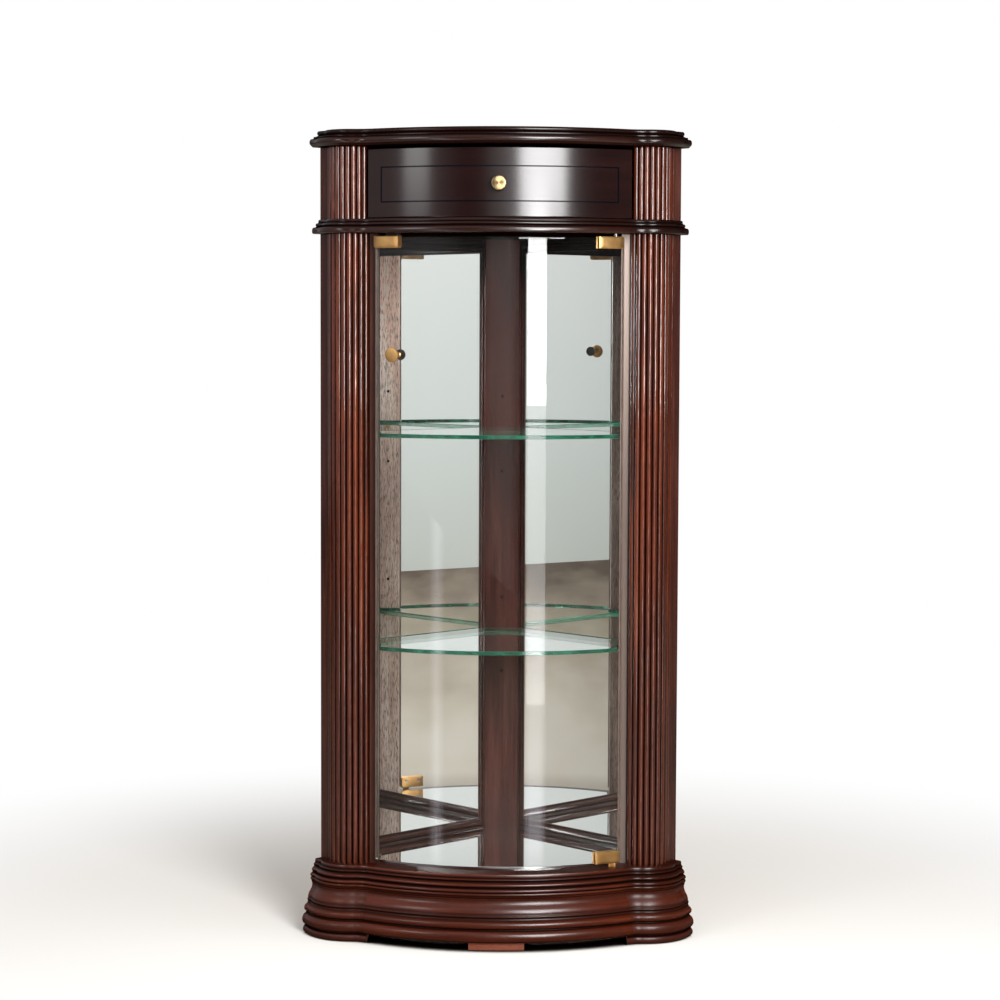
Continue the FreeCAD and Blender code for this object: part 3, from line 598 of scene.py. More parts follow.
# Pieces ------------------------------------------------------------------------------
def board(name, profile, low, over=0.0):
    """Moulded board: the case plan at each profile point, moved out by the overhang there. The underside
    is painted dark as shade and left without lacquer, and over is how far the upper face is darkened and
    its lacquer thinned the same way. The top board's upper tier and the right-hand corner are darkened
    and their lacquer thinned to dim their highlights: painted shade."""
    p = np.array(profile)
    rows = at_heights([case_loop(d) for d in p[:, 0]], low + p[:, 1])
    # First row: painted shade under the board; last row: the upper face darkened by over.
    dark = np.concatenate([[1.0], recess(profile)[1:-1], [over]])
    # Painted shade: the top board's upper tier is darkened and its lacquer thinned, to dim its highlight.
    if name == "moulded_top_board":
        upper_tier, tier_dimming = (14.0, 16.0), (0.0, 0.45)
        dark = np.maximum(dark, np.interp(p[:, 1], upper_tier, tier_dimming))
    # Painted shade: towards the right-hand corner the board is darkened and its lacquer thinned, to dim its
    # highlights.
    dimmed_corner = np.interp(rows[:, :, 0], (column_x - 40.0, column_x - 20.0), (0.0, 0.5))
    return solid(name, rows, dark=np.maximum(dark[:, None], dimmed_corner))


def moulding_length(name, profile, low, back, path):
    """Length of moulding: the profile closed by a flat back at overhang -back, run along path(offset)."""
    closed = [*profile, (-back, profile[-1][1]), (-back, profile[0][1])]
    rows = at_heights([path(d) for d, z in closed], [low + z for d, z in closed]).transpose(1, 0, 2)
    # The dark mask is painted shade in the profile's grooves.
    return solid(name, rows, dark=np.concatenate([recess(profile), [0.0, 0.0]]), along=True)


def until_x(offset, stop_x):
    """Case edge from the wall's end, cut where it comes in to stop_x, at even steps."""
    path = np.concatenate(right_path(offset, (60, 40, 80)))
    k = int(np.argmax(path[:, 0] < stop_x))
    t = (path[k - 1, 0] - stop_x) / (path[k - 1, 0] - path[k, 0])
    path = np.concatenate([path[:k], [path[k - 1] + t * (path[k] - path[k - 1])]])
    run = np.concatenate([[0.0], np.cumsum(np.linalg.norm(np.diff(path[1:], axis=0), axis=1))])
    even = np.linspace(0.0, run[-1], 60)
    return np.concatenate([path[:1], np.stack([np.interp(even, run, path[1:, c]) for c in (0, 1)], 1)])


def reeded(name, inner_x, back, low, high):
    """Column of half-round reeds, each an arc through its valleys and crest, closed by flat back faces, with painted
    shade in the valleys.
    """
    turn = return_meets_column(0.0)
    a0 = math.atan2(turn[1] - column_y, turn[0] - column_x)
    a1 = -math.pi + math.acos((column_x - inner_x) / column_radius)
    step = (a1 - a0) / reed_count
    valley = column_radius - setting("reed_depth")
    half_chord = valley * math.sin(abs(step) / 2.0)
    rise = column_radius - valley * math.cos(step / 2.0)
    bend = (half_chord ** 2 + rise ** 2) / (2.0 * rise)
    swing = math.asin(half_chord / bend)
    phi = np.linspace(-swing, swing, 15)
    across = np.sign(step) * bend * np.sin(phi)
    out = column_radius - bend + bend * np.cos(phi)
    mid = (a0 + (np.arange(reed_count) + 0.5) * step)[:, None]
    reeds = np.stack([column_x + out * np.cos(mid) - across * np.sin(mid),
                      column_y + out * np.sin(mid) + across * np.cos(mid)], -1)
    from_valley = np.minimum(phi + swing, swing - phi) / swing
    # Painted shade in the valleys between the reeds.
    groove = np.clip(1.4 - from_valley / 0.46, 0.0, 1.0)
    section = np.concatenate([reeds[0, :1], reeds[:, 1:].reshape(-1, 2), np.array(back), turn[None]])
    dark = np.concatenate([groove[:1], np.tile(groove[1:], reed_count), np.zeros(len(back) + 1)])
    return solid(name, at_heights([section] * 3, np.linspace(low, high, 3)), dark=dark, along=True)


def bowed_bar(name, section, half, steps):
    """Bar of (radius, height) section bent round the bow, cut square at plus and minus half across."""
    x = np.linspace(-half, half, steps)
    return solid(name, np.stack([on_bow(r, x, z) for r, z in section], 1), along=True)


def string_line(width):
    """Inlay rectangle drawn as a band of the given width, let into the drawer front and hardly proud."""
    rows = []
    for inward, out in ((0.0, -0.8), (0.0, 0.05), (width, 0.05), (width, -0.8)):
        x = np.linspace(-1.0, 1.0, 81) * (inlay_half - inward)
        z = inlay_half_tall - inward
        height = np.repeat([drawer_knob_z - z, drawer_knob_z + z], 81)
        rows.append(on_bow(bow_radius + out, np.concatenate([x, x[::-1]]), height))
    return solid("string_line", rows, closed_rows=True, angle=40.0)


def rounded_rectangle(x0, x1, z0, z1, radii, steps=8):
    """Counter-clockwise rectangle with a radius for each corner, from the lower left."""
    corners = ((x0, z0, 1, 1, 180.0), (x1, z0, -1, 1, 270.0), (x1, z1, -1, -1, 0.0), (x0, z1, 1, -1, 90.0))
    points = []
    for (x, z, sx, sz, start), r in zip(corners, radii):
        start = math.radians(start)
        points.append(arc((x + sx * r, z + sz * r), r, start, start + math.pi / 2.0, steps))
    return np.concatenate(points)


def curved_plate(loop, r_in, r_out, bevel):
    """Plate bent round the bow from a flat outline (arc length, height), with softened outer edges."""
    small, slope = inset(loop, bevel), inset(loop, bevel * 0.3)
    centre = loop.mean(0)
    outlines = [(r_in, centre + (loop - centre) * k) for k in (0.3, 0.65, 1.0)]
    outlines += [(r_out - bevel, loop), (r_out - bevel * 0.3, slope), (r_out, small)]
    outlines += [(r_out, centre + (small - centre) * k) for k in (0.65, 0.3)]
    return solid("plate", [wrapped(r, line[:, 0], line[:, 1]) for r, line in outlines], fans=True, angle=40.0)


def clamp(name, x0, x1, z0, z1, radii, strip_z):
    """Plates on both faces of the door glass between x0 and x1, and a bridge over its edge between them."""
    along = [glass_outer_r * math.asin(x / glass_outer_r) for x in (x0, x1)]
    loop = rounded_rectangle(*along, z0, z1, radii)
    strip = rounded_rectangle(*along, *strip_z, (0.3,) * 4)
    return joined(name, [curved_plate(loop, glass_outer_r, glass_outer_r + plate_thick, 0.7),
                         curved_plate(loop, glass_inner_r - plate_thick, glass_inner_r, 0.02),
                         curved_plate(strip, glass_inner_r, glass_outer_r, 0.02)])


def sheet_of_glass(name, loop, low, high, arris=0.7):
    """Flat plate from a plan loop with a small ground arris round both faces; the rim is marked."""
    rows = at_heights([inset(loop, arris), loop, loop, inset(loop, arris)], [low, low + arris, high - arris, high])
    return finish_rim(solid(name, rows, rim=np.array([0.0, 1.0, 1.0, 0.0])[:, None], angle=30.0))


def finish_rim(obj):
    """Mark whole faces as rim or face, so that the mask has no slope across a wide face."""
    mesh = obj.data
    values = np.empty(len(mesh.vertices))
    mesh.attributes["rim"].data.foreach_get("value", values)
    corner = np.empty(len(mesh.loops), int)
    mesh.loops.foreach_get("vertex_index", corner)
    sizes = np.empty(len(mesh.polygons), int)
    mesh.polygons.foreach_get("loop_total", sizes)
    starts = np.concatenate([[0], np.cumsum(sizes)[:-1]])
    face = (np.add.reduceat(values[corner], starts) / sizes > 0.4).astype(np.float32)
    mesh.attributes.remove(mesh.attributes["rim"])
    mesh.attributes.new("rim", "FLOAT", "FACE").data.foreach_set("value", face)
    return obj


def shelf_loop():
    """Shelf plan, counter-clockwise: bowed front, straight sides, walls at 45 degrees, cut-off back corner."""
    gap_at_bead, gap_at_stile, gap_at_post = 1.0, 2.0, 1.5
    reach = corner_y - (back_board + mirror_thick + bead_thick + gap_at_bead) * ROOT2
    side_y = stile_back_y + gap_at_stile
    back_y = post_face_y - gap_at_post
    front = on_bow(shelf_radius, np.linspace(-shelf_half, shelf_half, 81), 0.0)[:, :2]
    right = np.array([(shelf_half, side_y), (reach - side_y, side_y), (reach - back_y, back_y)])
    return np.concatenate([front, right, right[::-1] * (-1.0, 1.0)])


def glass_pane():
    """Bent door glass: two arcs and half-round ends in plan, drawn up with a small arris top and bottom."""
    mid_r = (glass_outer_r + glass_inner_r) / 2.0
    half = (glass_outer_r - glass_inner_r) / 2.0
    swing = math.asin(glass_end_x / glass_outer_r) - half / mid_r
    a = np.linspace(-swing, swing, 121)
    turn = np.linspace(0.0, math.pi, 9)[1:-1]

    def at(radius, angle):
        return np.stack([radius * np.sin(angle), bow_y - radius * np.cos(angle)], 1)

    def plan(shrink):
        r = half - shrink
        right = at(mid_r + r * np.cos(turn), swing + r * np.sin(turn) / mid_r)
        return np.concatenate([at(mid_r + r, a), right, at(mid_r - r, a)[::-1], right[::-1] * (-1.0, 1.0)])

    arris = 0.8
    rows = at_heights([plan(arris), plan(0.0), plan(0.0), plan(arris)],
                      [glass_bottom, glass_bottom + arris, glass_top - arris, glass_top])
    rim = np.repeat([0.0, 1.0, 0.0, 1.0], [len(a), len(turn), len(a), len(turn)])
    return finish_rim(solid("bent_door_glass", rows, rim=rim, angle=30.0))


def bead_frame():
    """Glazing bead round the right mirror: one rounded section carried round four mitred sides, with painted shade
    in its creases.
    """
    flank = (corner_y - back_board * ROOT2 - post_half - post_face_y) / 2.0
    s0 = (post_half + flank - (post_face_y + flank) + corner_y) / ROOT2 + 0.2
    s1 = wall_length - return_thick - 0.2
    low, high = base_top, waist_bottom
    n0 = back_board + mirror_thick
    section = [(0.0, 0.0), (0.0, 1.9), (0.03, 2.4), (0.08, 2.6), (0.28, 2.6), (0.33, 2.35), (0.36, 1.5), (0.40, 1.2),
               (0.45, 1.3), (0.50, 1.8), (0.57, 2.3), (0.66, 2.55), (0.76, 2.5), (0.84, 2.1), (0.88, 1.4),
               (0.92, 1.1), (0.97, 1.1), (1.0, 0.8), (1.0, 0.0)]
    rows = []
    for f, h in section:
        left, right, rail = s0 + bead_wide_at_post * f, s1 - bead_wide_at_column * f, bead_tall * f
        corners = (left, low + rail), (right, low + rail), (right, high - rail), (left, high - rail)
        rows.append([(*wall_point(s, n0 + h), z) for s, z in corners])
    # Painted shade in the bead's creases, as (place across the section, darkness) pairs.
    shaded_creases = (0.28, 0.0), (0.36, 1.0), (0.42, 1.0), (0.52, 0.0), (0.8, 0.0), (0.88, 1.0), (0.96, 0.4), (1.0, 0.0)
    dark = np.interp([f for f, h in section], *zip(*shaded_creases))
    return solid("mirror_bead_right", np.array(rows), closed_rows=True, dark=dark[:, None], angle=38.0)


def knob(name, origin, out, stem):
    """Turned brass knob: a collar and stem, then a flat disc with a soft rim and a shallow dish."""
    r, neck = setting("knob_radius"), knob_stem_r
    profile = [(neck + 0.9, 0.0), (neck + 0.9, 0.7), (neck + 0.5, 1.1), (neck, 1.5), (neck - 0.3, stem * 0.5),
               (neck, stem - 1.8), (neck + 1.6, stem - 0.5), (neck + 2.6, stem), (r - 1.4, stem + 0.1),
               (r - 0.5, stem + 0.4), (r, stem + 1.1), (r, stem + 2.6), (r - 0.3, stem + 3.3),
               (r - 0.9, stem + 3.6), (r - 2.0, stem + 3.8), (r * 0.6, stem + knob_thick - 0.08),
               (r * 0.3, stem + knob_thick - 0.02), (0.6, stem + knob_thick)]
    return lathe(name, profile, origin, out, 72)


# Settings ----------------------------------------------------------------------------
def length_setting(name, description, millimetres):
    """A length that shows in the panel and is given here in mm."""
    return bpy.props.FloatProperty(name=name, description=description, default=millimetres * MM, min=0.0005,
                                   subtype="DISTANCE", unit="LENGTH", precision=4)


def colour_setting(name, description, code):
    """A colour that shows in the panel and is given here as an sRGB hex code."""
    return bpy.props.FloatVectorProperty(name=name, description=description, default=linear(code)[:3],
                                         subtype="COLOR", size=3, min=0.0, max=1.0)


class CABINET_PG_sizes(bpy.types.PropertyGroup):
    """Sizes of the small details."""
    reed_depth: length_setting("Reed depth", "How far the valleys lie below the reeds' crests", 3.6)
    inlay_width: length_setting("Inlay width", "Width of the string line in the drawer front", 2.2)
    knob_radius: length_setting("Knob radius", "Outer radius of both brass knobs", 10.8)


class CABINET_PG_colours(bpy.types.PropertyGroup):
    """Middle tones of the finishes."""
    # The boards' darker middle tone is painted shade on the same mahogany as the plinth and reeds.
    boards: colour_setting("Boards", "Stain of the top and waist boards", "#1e0b07")
    drawer: colour_setting("Drawer", "Stain of the drawer front's veneer", "#150504")
    reeds: colour_setting("Reeds", "Stain of the reeded columns", "#481b0b")
    plinth: colour_setting("Plinth", "Stain of the base board, plinth and feet", "#3e1507")
    brass: colour_setting("Brass", "Colour of plates, pins and door knob", "#d5a96d")
    shelf_edge: colour_setting("Shelf edge", "Colour of the shelves' polished edges", "#256750")


class CABINET_PG_light(bpy.types.PropertyGroup):
    """Light of the stage."""
    window: bpy.props.FloatProperty(
        name="Window", description="Radiance of the window on the right", default=42.0, min=0.0)
    side: bpy.props.FloatProperty(
        name="Side", description="Radiance of the high window on the left", default=5.5, min=0.0)
    ceiling: bpy.props.FloatProperty(
        name="Ceiling", description="Radiance of the soft light overhead", default=0.5, min=0.0)
    fill: bpy.props.FloatProperty(
        name="Fill", description="Strength of the even light of the room", default=0.72, min=0.0)


class CABINET_PG_view(bpy.types.PropertyGroup):
    """Camera of the stage."""
    lens: bpy.props.FloatProperty(
        name="Lens", description="Focal length in mm on a 36 mm sensor", default=91.44, min=1.0)
    place: bpy.props.FloatVectorProperty(
        name="Place", description="Camera position", subtype="TRANSLATION", unit="LENGTH",
        default=(0.0717, -3.9156, 0.9250))
    turn: bpy.props.FloatVectorProperty(
        name="Turn", description="Turn to the left, tilt down and roll", default=(0.01837, 0.06795, 0.0036),
        precision=5)


def setting(key):
    """A size from the settings, in mm."""
    return getattr(bpy.context.scene.cabinet_sizes, key) / MM


# Operators -----------------------------------------------------------------------------
class CABINET_OT_boards(bpy.types.Operator):
    """Top board, waist moulding and base board"""
    bl_idname = "cabinet.boards"
    bl_label = "Boards"

    def execute(self, context):
        for name, profile, low, over, finish in (
                ("top_board", top_profile, top_bottom, 0.9, "mahogany_board"),
                ("waist_board", waist_profile, waist_bottom, 0.0, "mahogany_board"),
                ("base_board", base_board_profile, base_board_bottom, 0.55, "mahogany_plinth")):
            place(board("moulded_" + name, profile, low, over), "case", "mahogany", finish, name)
        return {"FINISHED"}


class CABINET_OT_plinth(bpy.types.Operator):
    """Plinth moulding in three lengths, and the feet under it"""
    bl_idname = "cabinet.plinth"
    bl_label = "Plinth and feet"

    def execute(self, context):
        def front(offset):
            blend, bow = right_path(offset)[2:]
            right = np.concatenate([blend[-1:], bow])
            return np.concatenate([right, right[-2::-1] * (-1.0, 1.0)])

        def corner(offset):
            return np.concatenate(right_path(offset)[:3])

        def foot(offset):
            return until_x(offset, foot_inner_x)

        place(moulding_length("plinth_moulding_front", plinth_profile, foot_height, plinth_back, front),
              "case", "mahogany", "mahogany_plinth", "plinth_front")
        place_pair(moulding_length("plinth_moulding_right", plinth_profile, foot_height, plinth_back, corner),
                   "plinth_moulding", "mahogany_corner", "plinth_corner")
        place_pair(moulding_length("foot_moulded_right", foot_profile, 0.0, foot_back, foot),
                   "foot_moulded", "mahogany_corner", "foot_corner")
        section = [(bow_radius + out, z) for out, z in (
            (-foot_back, 0.0), (23.0, 0.0), (24.4, 0.5), (25.0, 2.0), (25.0, 9.5), (24.2, 11.6),
            (22.4, foot_height), (-foot_back, foot_height))]
        place(bowed_bar("foot_block_centre", section, foot_centre_half, 25), "case", "mahogany",
              "mahogany_bare", "foot_centre")
        return {"FINISHED"}


class CABINET_OT_columns(bpy.types.Operator):
    """Reeded columns and the reeded blocks beside the drawer"""
    bl_idname = "cabinet.columns"
    bl_label = "Columns"

    def execute(self, context):
        board_end = wall_length - return_thick
        bead = wall_point(board_end, back_board + mirror_thick + bead_thick)
        inner = wall_point(board_end, np.linalg.norm(return_meets_column(0.0) - wall_point(wall_length, 0.0)))
        tail = [(bead[0] - stile_back_y + bead[1], stile_back_y), tuple(bead), tuple(inner)]
        column_back = [(column_inner_x, stile_face_y), (stile_outer_x, stile_face_y), (stile_outer_x, stile_back_y)]
        for label, inner_x, back, low, high in (
                ("column", column_inner_x, column_back + tail, base_top, waist_bottom),
                ("frieze_block", block_inner_x, [(block_inner_x, stile_back_y)] + tail, waist_top, top_bottom)):
            place_pair(reeded("reeded_%s_right" % label, inner_x, back, low, high), "reeded_" + label,
                       "mahogany_reed", label)
        return {"FINISHED"}


class CABINET_OT_drawer(bpy.types.Operator):
    """Bowed drawer front and its string inlay"""
    bl_idname = "cabinet.drawer"
    bl_label = "Drawer front"

    def execute(self, context):
        low, high = waist_top + drawer_gap, top_bottom - drawer_gap_over
        edge = ((drawer_front_thick, 0.0), (0.9, 0.0), (0.25, 0.25), (0.0, 0.9), (0.0, 1.4))
        section = [(bow_radius - deep, low + up) for deep, up in edge]
        section += [(bow_radius - deep, high - up) for deep, up in edge[::-1]]
        place(bowed_bar("veneered_drawer_front", section, block_inner_x - drawer_gap, 97), "drawer", "mahogany",
              "mahogany_veneer", "drawer_front")
        place(string_line(setting("inlay_width")), "drawer", "inlay", "ebony_line", "string_inlay")
        return {"FINISHED"}


class CABINET_OT_glass(bpy.types.Operator):
    """Bent door glass, glass shelves and the mirror on the floor of the case"""
    bl_idname = "cabinet.glass"
    bl_label = "Glass"

    def execute(self, context):
        place(glass_pane(), "door", "door_glass", "door_glass_clear", "door_glass")
        loop = shelf_loop()
        for level, low in shelf_bottoms.items():
            place(sheet_of_glass("glass_shelf_" + level, loop, low, low + shelf_thick), "case", "shelf_glass",
                  "shelf_glass_clear", "shelf_" + level)
        place(sheet_of_glass("floor_mirror_sheet", loop, base_top, base_top + mirror_thick), "case", "mirror",
              "silvered_mirror", "floor_mirror")
        return {"FINISHED"}


class CABINET_OT_beads(bpy.types.Operator):
    """Glazing beads round the wall mirrors"""
    bl_idname = "cabinet.beads"
    bl_label = "Mirror beads"

    def execute(self, context):
        place_pair(bead_frame(), "mirror_bead", "mahogany_bead", "mirror_beads")
        return {"FINISHED"}


class CABINET_OT_pin_holes(bpy.types.Operator):
    """Near-black cups in the empty shelf pin holes of the post and the stiles: painted shade inside the holes"""
    bl_idname = "cabinet.pin_holes"
    bl_label = "Pin holes"

    def execute(self, context):
        cup = [(2.2, -4.0), (2.45, -3.6), (2.45, 0.0), (2.4, 0.15), (2.25, 0.2), (2.1, 0.1), (2.0, -0.4),
               (1.9, -3.2), (0.5, -3.5)]
        places = [(0.0, post_face_y, -1.0), (-stile_pin_x, stile_back_y, 1.0), (stile_pin_x, stile_back_y, 1.0)]
        cups = [lathe("pin_hole", cup, (x, y, bottom - pin_below_shelf + step), (0.0, way, 0.0), 24)
                for x, y, way in places for bottom in shelf_bottoms.values() for step in (-pin_pitch, pin_pitch)]
        place(joined("pin_hole_shade_cups", cups), "case", "mahogany", "pin_hole_shade")
        return {"FINISHED"}


class CABINET_OT_knobs(bpy.types.Operator):
    """Brass knobs of the door and the drawer"""
    bl_idname = "cabinet.knobs"
    bl_label = "Knobs"

    def execute(self, context):
        turn = -math.asin(door_knob_x / glass_outer_r)
        out = np.array([math.sin(turn), -math.cos(turn), 0.0])
        at = np.array([0.0, bow_y, door_knob_z]) + out * glass_outer_r
        place(knob("turned_door_knob", at, out, door_knob_stem), "door", "brass", "satin_brass", "door_knob")
        at = (0.0, bow_y - bow_radius, drawer_knob_z)
        place(knob("turned_drawer_knob", at, (0.0, -1.0, 0.0), drawer_knob_stem), "drawer", "brass",
              "turned_brass", "drawer_knob")
        return {"FINISHED"}


class CABINET_OT_plates(bpy.types.Operator):
    """Brass hinge plates and catch plate on the door glass"""
    bl_idname = "cabinet.plates"
    bl_label = "Plates"

    def execute(self, context):
        for label, edge, up in (("top", glass_top, 1.0), ("bottom", glass_bottom, -1.0)):
            over = edge + up * plate_over_edge
            plate = clamp("brass_hinge_" + label, plate_from_x, plate_to_x, *sorted((over, over - up * plate_tall)),
                          (1.0,) * 4, sorted((edge, over)))
            place(plate, "door", "brass", "satin_brass", "hinge_plate_" + label)
        over = glass_top + plate_over_edge
        plate = clamp("brass_catch_plate", 0.5 - glass_end_x, -catch_from_x, over - plate_tall, over,
                      (3.5, 3.5, 0.8, 0.8), (glass_top, over))
        place(plate, "door", "brass", "satin_brass", "catch_plate")
        return {"FINISHED"}


class CABINET_OT_adjuster(bpy.types.Operator):
    """Knurled thumb wheel under the door's pivot"""
    bl_idname = "cabinet.adjuster"
    bl_label = "Adjuster"

    def execute(self, context):
        low, high = (np.array(corner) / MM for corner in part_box("knurled_adjuster"))
        x, y = (low + high)[:2] / 2.0
        tall = (high - low)[2]
        rim = [(-2.4, 0.0, 0.0), (-0.7, 0.0, 0.0), (-0.1, 0.35, 0.35), (0.0, 0.6, 0.5)]
        profile = [(adjuster_r + out, up) for out, up, cut in rim]
        profile[0] = adjuster_bore_r, 0.0
        profile += [(radius, tall - up) for radius, up in profile[::-1]]
        depth = [cut for out, up, cut in rim]
        wheel = lathe("knurled_wheel", profile, (x, y, low[2]), (0.0, 0.0, 1.0), 240, (depth + depth[::-1], 40))
        place(wheel, "adjuster", "brass", "satin_brass", "knurled_adjuster")
        return {"FINISHED"}


class CABINET_OT_carried(bpy.types.Operator):
    """Finishes on the CAD pieces whose shape is already right"""
    bl_idname = "cabinet.carried"
    bl_label = "Carried pieces"

    def execute(self, context):
        for finish, names in {
                "mahogany_z": ("centre_post", "return_left", "return_right", "frieze_returns", "door_stop"),
                "mahogany_open": ("stile_right",),
                "mahogany_shade": ("stile_left",),
                "backing_ply": ("back_board_left", "back_board_right", "frieze_back_left", "frieze_back_right",
                                "plinth_backs", "glue_blocks", "foot_rear"),
                "drawer_poplar": ("drawer_side_left", "drawer_side_right", "drawer_cant_left", "drawer_cant_right",
                                  "drawer_back", "drawer_bottom", "drawer_runners", "drawer_guides", "drawer_stop"),
                "silvered_mirror": ("mirror_left", "mirror_right"),
                "satin_brass": ("shelf_pins_upper", "shelf_pins_lower"),
                "plated_steel": ("pivot_pins", "pivot_sockets", "hinge_screws", "drawer_knob_screw"),
                "catch_plastic": ("magnet_catch", "door_knob_screw")}.items():
            for name in names:
                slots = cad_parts[name].data.materials
                slots.clear()
                slots.append(finishes()[finish])
        return {"FINISHED"}


class CABINET_OT_stage(bpy.types.Operator):
    """Floor, surrounding light, window lights and camera"""
    bl_idname = "cabinet.stage"
    bl_label = "Stage"

    def execute(self, context):
        scene, light = context.scene, context.scene.cabinet_light
        stage_floor()
        surroundings(scene, light.fill)
        window_light("window_right", 18.0, 2.6, 0.42, (0.735, 1.14), light.window)
        window_light("window_high", 20.2, 2.6, 1.04, (1.14, 2.4), light.window * 0.52)
        window_light("window_low", 18.0, 2.6, 0.42, (0.0, 0.735), light.window * 0.16)
        window_light("window_left", -42.0, 2.8, 0.62, (1.25, 2.4), light.side)
        area_light("ceiling", (0.0, -2.0, 3.0), (0.0, -2.0, 0.0), 3.0, 3.0, light.ceiling)
        stage_camera(scene, scene.cabinet_view)
        scene.view_settings.view_transform = "Standard"
        scene.cycles.max_bounces = 20
        scene.cycles.glossy_bounces = 12
        scene.cycles.transparent_max_bounces = 40
        return {"FINISHED"}


def stage_floor():
    """Plain pale floor, which keeps the cabinet's shadow, darkened further round the cabinet by ambient
    occlusion as a painted contact shadow, and runs out into white. For glossy rays it glows instead, a
    painted reflection: mirrors and glass show it as darker boards, paler near by and dimmer towards -X,
    with two streaks of painted window glare."""
    mesh = bpy.data.meshes.new("stage_floor")
    edge = [(-9.0, -8.0), (-1.5, -6.6), (1.5, -4.6), (9.0, -4.5), (9.0, 12.0), (-9.0, 12.0)]
    mesh.from_pydata([(x, y, 0.0) for x, y in edge], [], [range(6)])
    floor = linked("stage_floor", mesh)
    add, own = blank("pale_floor")
    seen = add("LightPath")
    away = add("VectorMath", {"Vector": own}, operation="LENGTH")
    apart = add("SeparateXYZ", {"Vector": own})

    speck = add("TexNoise", {"Vector": own, "Scale": 700.0, "Detail": 3.0})
    colour = add("ValToRGB", {"Fac": speck}, [(0.3, "#e6e3df"), (0.7, "#efedea")])
    # Painted contact shadow: where ambient occlusion is high, the floor's colour goes to near black.
    shut = add("AmbientOcclusion", {"Distance": 0.07}, samples=16), "AO"
    near = add("MapRange", {"Value": shut, "From Min": 0.25, "From Max": 0.62}, interpolation_type="SMOOTHSTEP")
    pale = add("Mix", {"Factor": near, "A": "#0c0705", "B": colour}, data_type="RGBA")
    far = add("MapRange", {"Value": away, "From Min": 0.4, "From Max": 1.5}, interpolation_type="SMOOTHSTEP")
    share = add("Math", {0: far, 1: (seen, "Is Camera Ray")}, operation="MULTIPLY")
    open_floor = add("MixShader", {0: share, 1: add("BsdfDiffuse", {"Color": pale}), 2: add("Emission")})

    # What glossy rays see of the floor is an emission: a painted reflection of a board floor.
    drawn_out = add("Mapping", {"Vector": own, "Scale": (6.0, 1.2, 1.0)})
    streak = add("TexNoise", {"Vector": drawn_out, "Scale": 1.0, "Detail": 3.0})
    nearer = add("MapRange", {"Value": away, "From Min": 1.2, "From Max": 5.4, "To Max": 0.65})
    depth = add("Math", {0: streak, 1: 0.5, 2: nearer}, operation="MULTIPLY_ADD")
    boards = add("ValToRGB", {"Fac": depth}, [(0.0, "#dfdbd3"), (0.3, "#cfc7b9"), (0.62, "#a99c8b"),
                                              (0.92, "#6c6056")])
    close = add("MapRange", {"Value": away, "From Min": 0.45, "From Max": 0.95})
    boards = add("Mix", {"Factor": close, "A": "#5f4d41", "B": boards}, data_type="RGBA")
    # Painted shade: the mirrored floor dims towards -X.
    lean = add("MapRange", {"Value": (apart, "X"), "From Min": -0.3, "From Max": 0.1, "To Min": 0.68})
    boards = add("VectorMath", {0: boards, 1: lean}, operation="MULTIPLY")

    # Painted glare: two streaks of window light glow in the mirrored floor, at glossy depth below 1.5.
    back = add("Math", {0: (apart, "Y"), 1: -1.0}, operation="MULTIPLY")
    bearing = add("Math", {0: (apart, "X"), 1: back}, operation="ARCTAN2")
    sixth = math.pi / 3.0
    round_about = add("MapRange", {"Value": bearing, "From Min": -sixth, "From Max": sixth})
    glare = add("ValToRGB", {"Fac": round_about}, [
        (0.20, "#000000"), (0.235, "#cfcdd6"), (0.27, "#000000"), (0.60, "#000000"), (0.63, "#f4f2fa"),
        (0.67, "#f4f2fa"), (0.70, "#000000")])
    beyond = add("MapRange", {"Value": away, "From Min": 0.5, "From Max": 0.9, "To Max": 7.0})
    once = add("Math", {0: (seen, "Glossy Depth"), 1: 1.5}, operation="LESS_THAN")
    reach = add("Math", {0: beyond, 1: once}, operation="MULTIPLY")
    shone = add("VectorMath", {"Vector": glare, "Scale": reach}, operation="SCALE")
    boards = add("VectorMath", {0: boards, 1: shone}, operation="ADD")
    mirrored = add("Emission", {"Color": boards})
    add("OutputMaterial", {"Surface": add("MixShader", {0: (seen, "Is Glossy Ray"), 1: open_floor, 2: mirrored})})
    mesh.materials.append(bpy.data.materials["pale_floor"])
    return floor


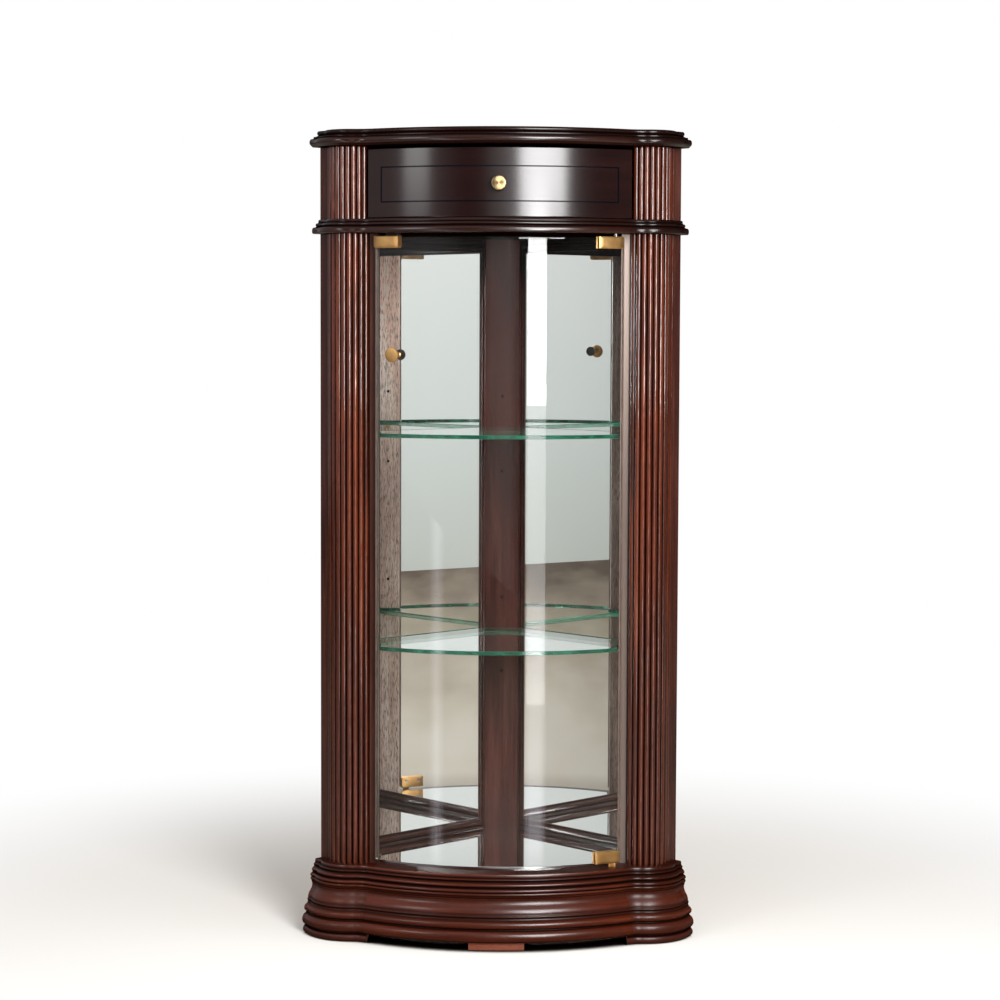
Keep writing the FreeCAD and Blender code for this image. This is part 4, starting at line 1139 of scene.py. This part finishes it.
def surroundings(scene, fill):
    """Room light by direction. Pale walls light the cabinet evenly; what it mirrors is a dimmer room, with
    one pale wall straight ahead up to eye level. The camera itself sees white."""
    scene.world = bpy.data.worlds.new("room_light")
    scene.world.use_nodes = True
    scene.world.node_tree.nodes.clear()
    add = partial(node, scene.world.node_tree)
    parts = add("SeparateXYZ", {"Vector": (add("TexCoord"), "Generated")})
    rise = add("MapRange", {"Value": (parts, "Z"), "From Min": -0.2, "From Max": 0.3})
    ahead = add("ValToRGB", {"Fac": rise}, [
        (0.0, "#a8a79c"), (0.2, "#c3c6c0"), (0.33, "#dadfdc"), (0.5, "#eef1ef"), (0.8, "#e4e6e5"),
        (1.0, "#3c3c3c")])
    across = add("Math", {0: (parts, "X")}, operation="ABSOLUTE")
    facing = add("MapRange", {"Value": across, "From Min": 0.14, "From Max": 0.075})
    turn = add("MapRange", {"Value": (parts, "X"), "From Min": -1.0})
    around = add("ValToRGB", {"Fac": turn}, [
        (0.0, "#b5b1b4"), (0.22, "#b5b1b4"), (0.34, "#242222"), (0.88, "#242222"), (1.0, "#857f7d")])
    lean = add("MapRange", {"Value": (parts, "X"), "From Min": -0.05, "From Max": 0.03, "To Min": 0.74})
    wall = add("Mix", {"Factor": 1.0, "A": ahead, "B": lean}, data_type="RGBA", blend_type="MULTIPLY")
    room = add("Mix", {"Factor": facing, "A": around, "B": wall}, data_type="RGBA")
    even = add("MapRange", {"Value": (parts, "Y"), "From Min": -1.0, "To Min": fill * 1.3, "To Max": fill * 0.3})
    light = add("Background", {"Color": "#fffcf8", "Strength": even})
    seen = add("LightPath")
    soft = add("Math", {0: (seen, "Diffuse Depth"), 1: 0.5}, operation="GREATER_THAN")
    lit = add("MixShader", {0: soft, 1: add("Background", {"Color": room}), 2: light})
    white = add("Background", {"Color": "#ffffff"})
    add("OutputWorld", {"Surface": add("MixShader", {0: (seen, "Is Camera Ray"), 1: lit, 2: white})})


def area_light(name, at, goal, wide, tall, radiance):
    """Rectangle of even radiance at one point, turned towards another."""
    light = bpy.data.lights.new(name, "AREA")
    light.shape = "RECTANGLE"
    light.size, light.size_y = wide, tall
    light.energy = radiance * math.pi * wide * tall
    lamp = bpy.data.objects.new(name, light)
    lamp.location = at
    lamp.rotation_euler = (Vector(goal) - Vector(at)).to_track_quat("-Z", "Y").to_euler()
    bpy.context.scene.collection.objects.link(lamp)


def window_light(name, azimuth, distance, wide, span, radiance):
    """Upright window facing the cabinet; azimuth is degrees to the right of straight ahead, span its heights."""
    a = math.radians(azimuth)
    middle = sum(span) / 2.0
    area_light(name, (distance * math.sin(a), -distance * math.cos(a), middle), (0.0, 0.0, middle),
               wide, span[1] - span[0], radiance)


def stage_camera(scene, view):
    """Camera: turned left by turn[0], tilted down by turn[1], then rolled so that up leans right."""
    yaw, pitch, roll = view.turn
    ahead = np.array([-math.sin(yaw), math.cos(yaw), 0.0])
    right = np.array([math.cos(yaw), math.sin(yaw), 0.0])
    up = np.array([0.0, 0.0, 1.0])
    rise = ahead * math.sin(pitch) + up * math.cos(pitch)
    matrix = np.eye(4)
    matrix[:3, 0] = right * math.cos(roll) + rise * math.sin(roll)
    matrix[:3, 1] = rise * math.cos(roll) - right * math.sin(roll)
    matrix[:3, 2] = up * math.sin(pitch) - ahead * math.cos(pitch)
    matrix[:3, 3] = view.place
    camera = bpy.data.cameras.new("stage_camera")
    camera.lens = view.lens
    camera.sensor_width = 36.0
    scene.camera = bpy.data.objects.new("stage_camera", camera)
    scene.camera.matrix_world = Matrix(matrix.tolist())
    scene.collection.objects.link(scene.camera)


class CABINET_PT_panel(bpy.types.Panel):
    """Builds the cabinet piece by piece"""
    bl_idname = "CABINET_PT_panel"
    bl_label = "Curio cabinet"
    bl_space_type = "VIEW_3D"
    bl_region_type = "UI"
    bl_category = "Cabinet"

    def draw(self, context):
        for operator in OPERATORS:
            self.layout.operator(operator.bl_idname)
        for key, group in GROUPS.items():
            for name in group.__annotations__:
                self.layout.prop(getattr(context.scene, key), name)


GROUPS = {"cabinet_sizes": CABINET_PG_sizes, "cabinet_colours": CABINET_PG_colours,
          "cabinet_light": CABINET_PG_light, "cabinet_view": CABINET_PG_view}
OPERATORS = (
    CABINET_OT_boards, CABINET_OT_plinth, CABINET_OT_columns, CABINET_OT_drawer, CABINET_OT_glass,
    CABINET_OT_beads, CABINET_OT_pin_holes, CABINET_OT_knobs, CABINET_OT_plates, CABINET_OT_adjuster,
    CABINET_OT_carried, CABINET_OT_stage)
CLASSES = (*GROUPS.values(), *OPERATORS, CABINET_PT_panel)


def register():
    """Register the classes and hang the settings on the scene."""
    for cls in CLASSES:
        bpy.utils.register_class(cls)
    for key, group in GROUPS.items():
        setattr(bpy.types.Scene, key, bpy.props.PointerProperty(type=group))


def unregister():
    """Undo register, in the opposite order."""
    for key in GROUPS:
        delattr(bpy.types.Scene, key)
    for cls in reversed(CLASSES):
        bpy.utils.unregister_class(cls)


def main():
    """Build every piece and the stage."""
    register()
    for operator in OPERATORS:
        step = getattr(bpy.ops.cabinet, operator.bl_idname.split(".")[1])
        if step() != {"FINISHED"}:
            raise RuntimeError(operator.bl_label + " could not be built")


if __name__ == "__main__":
    main()
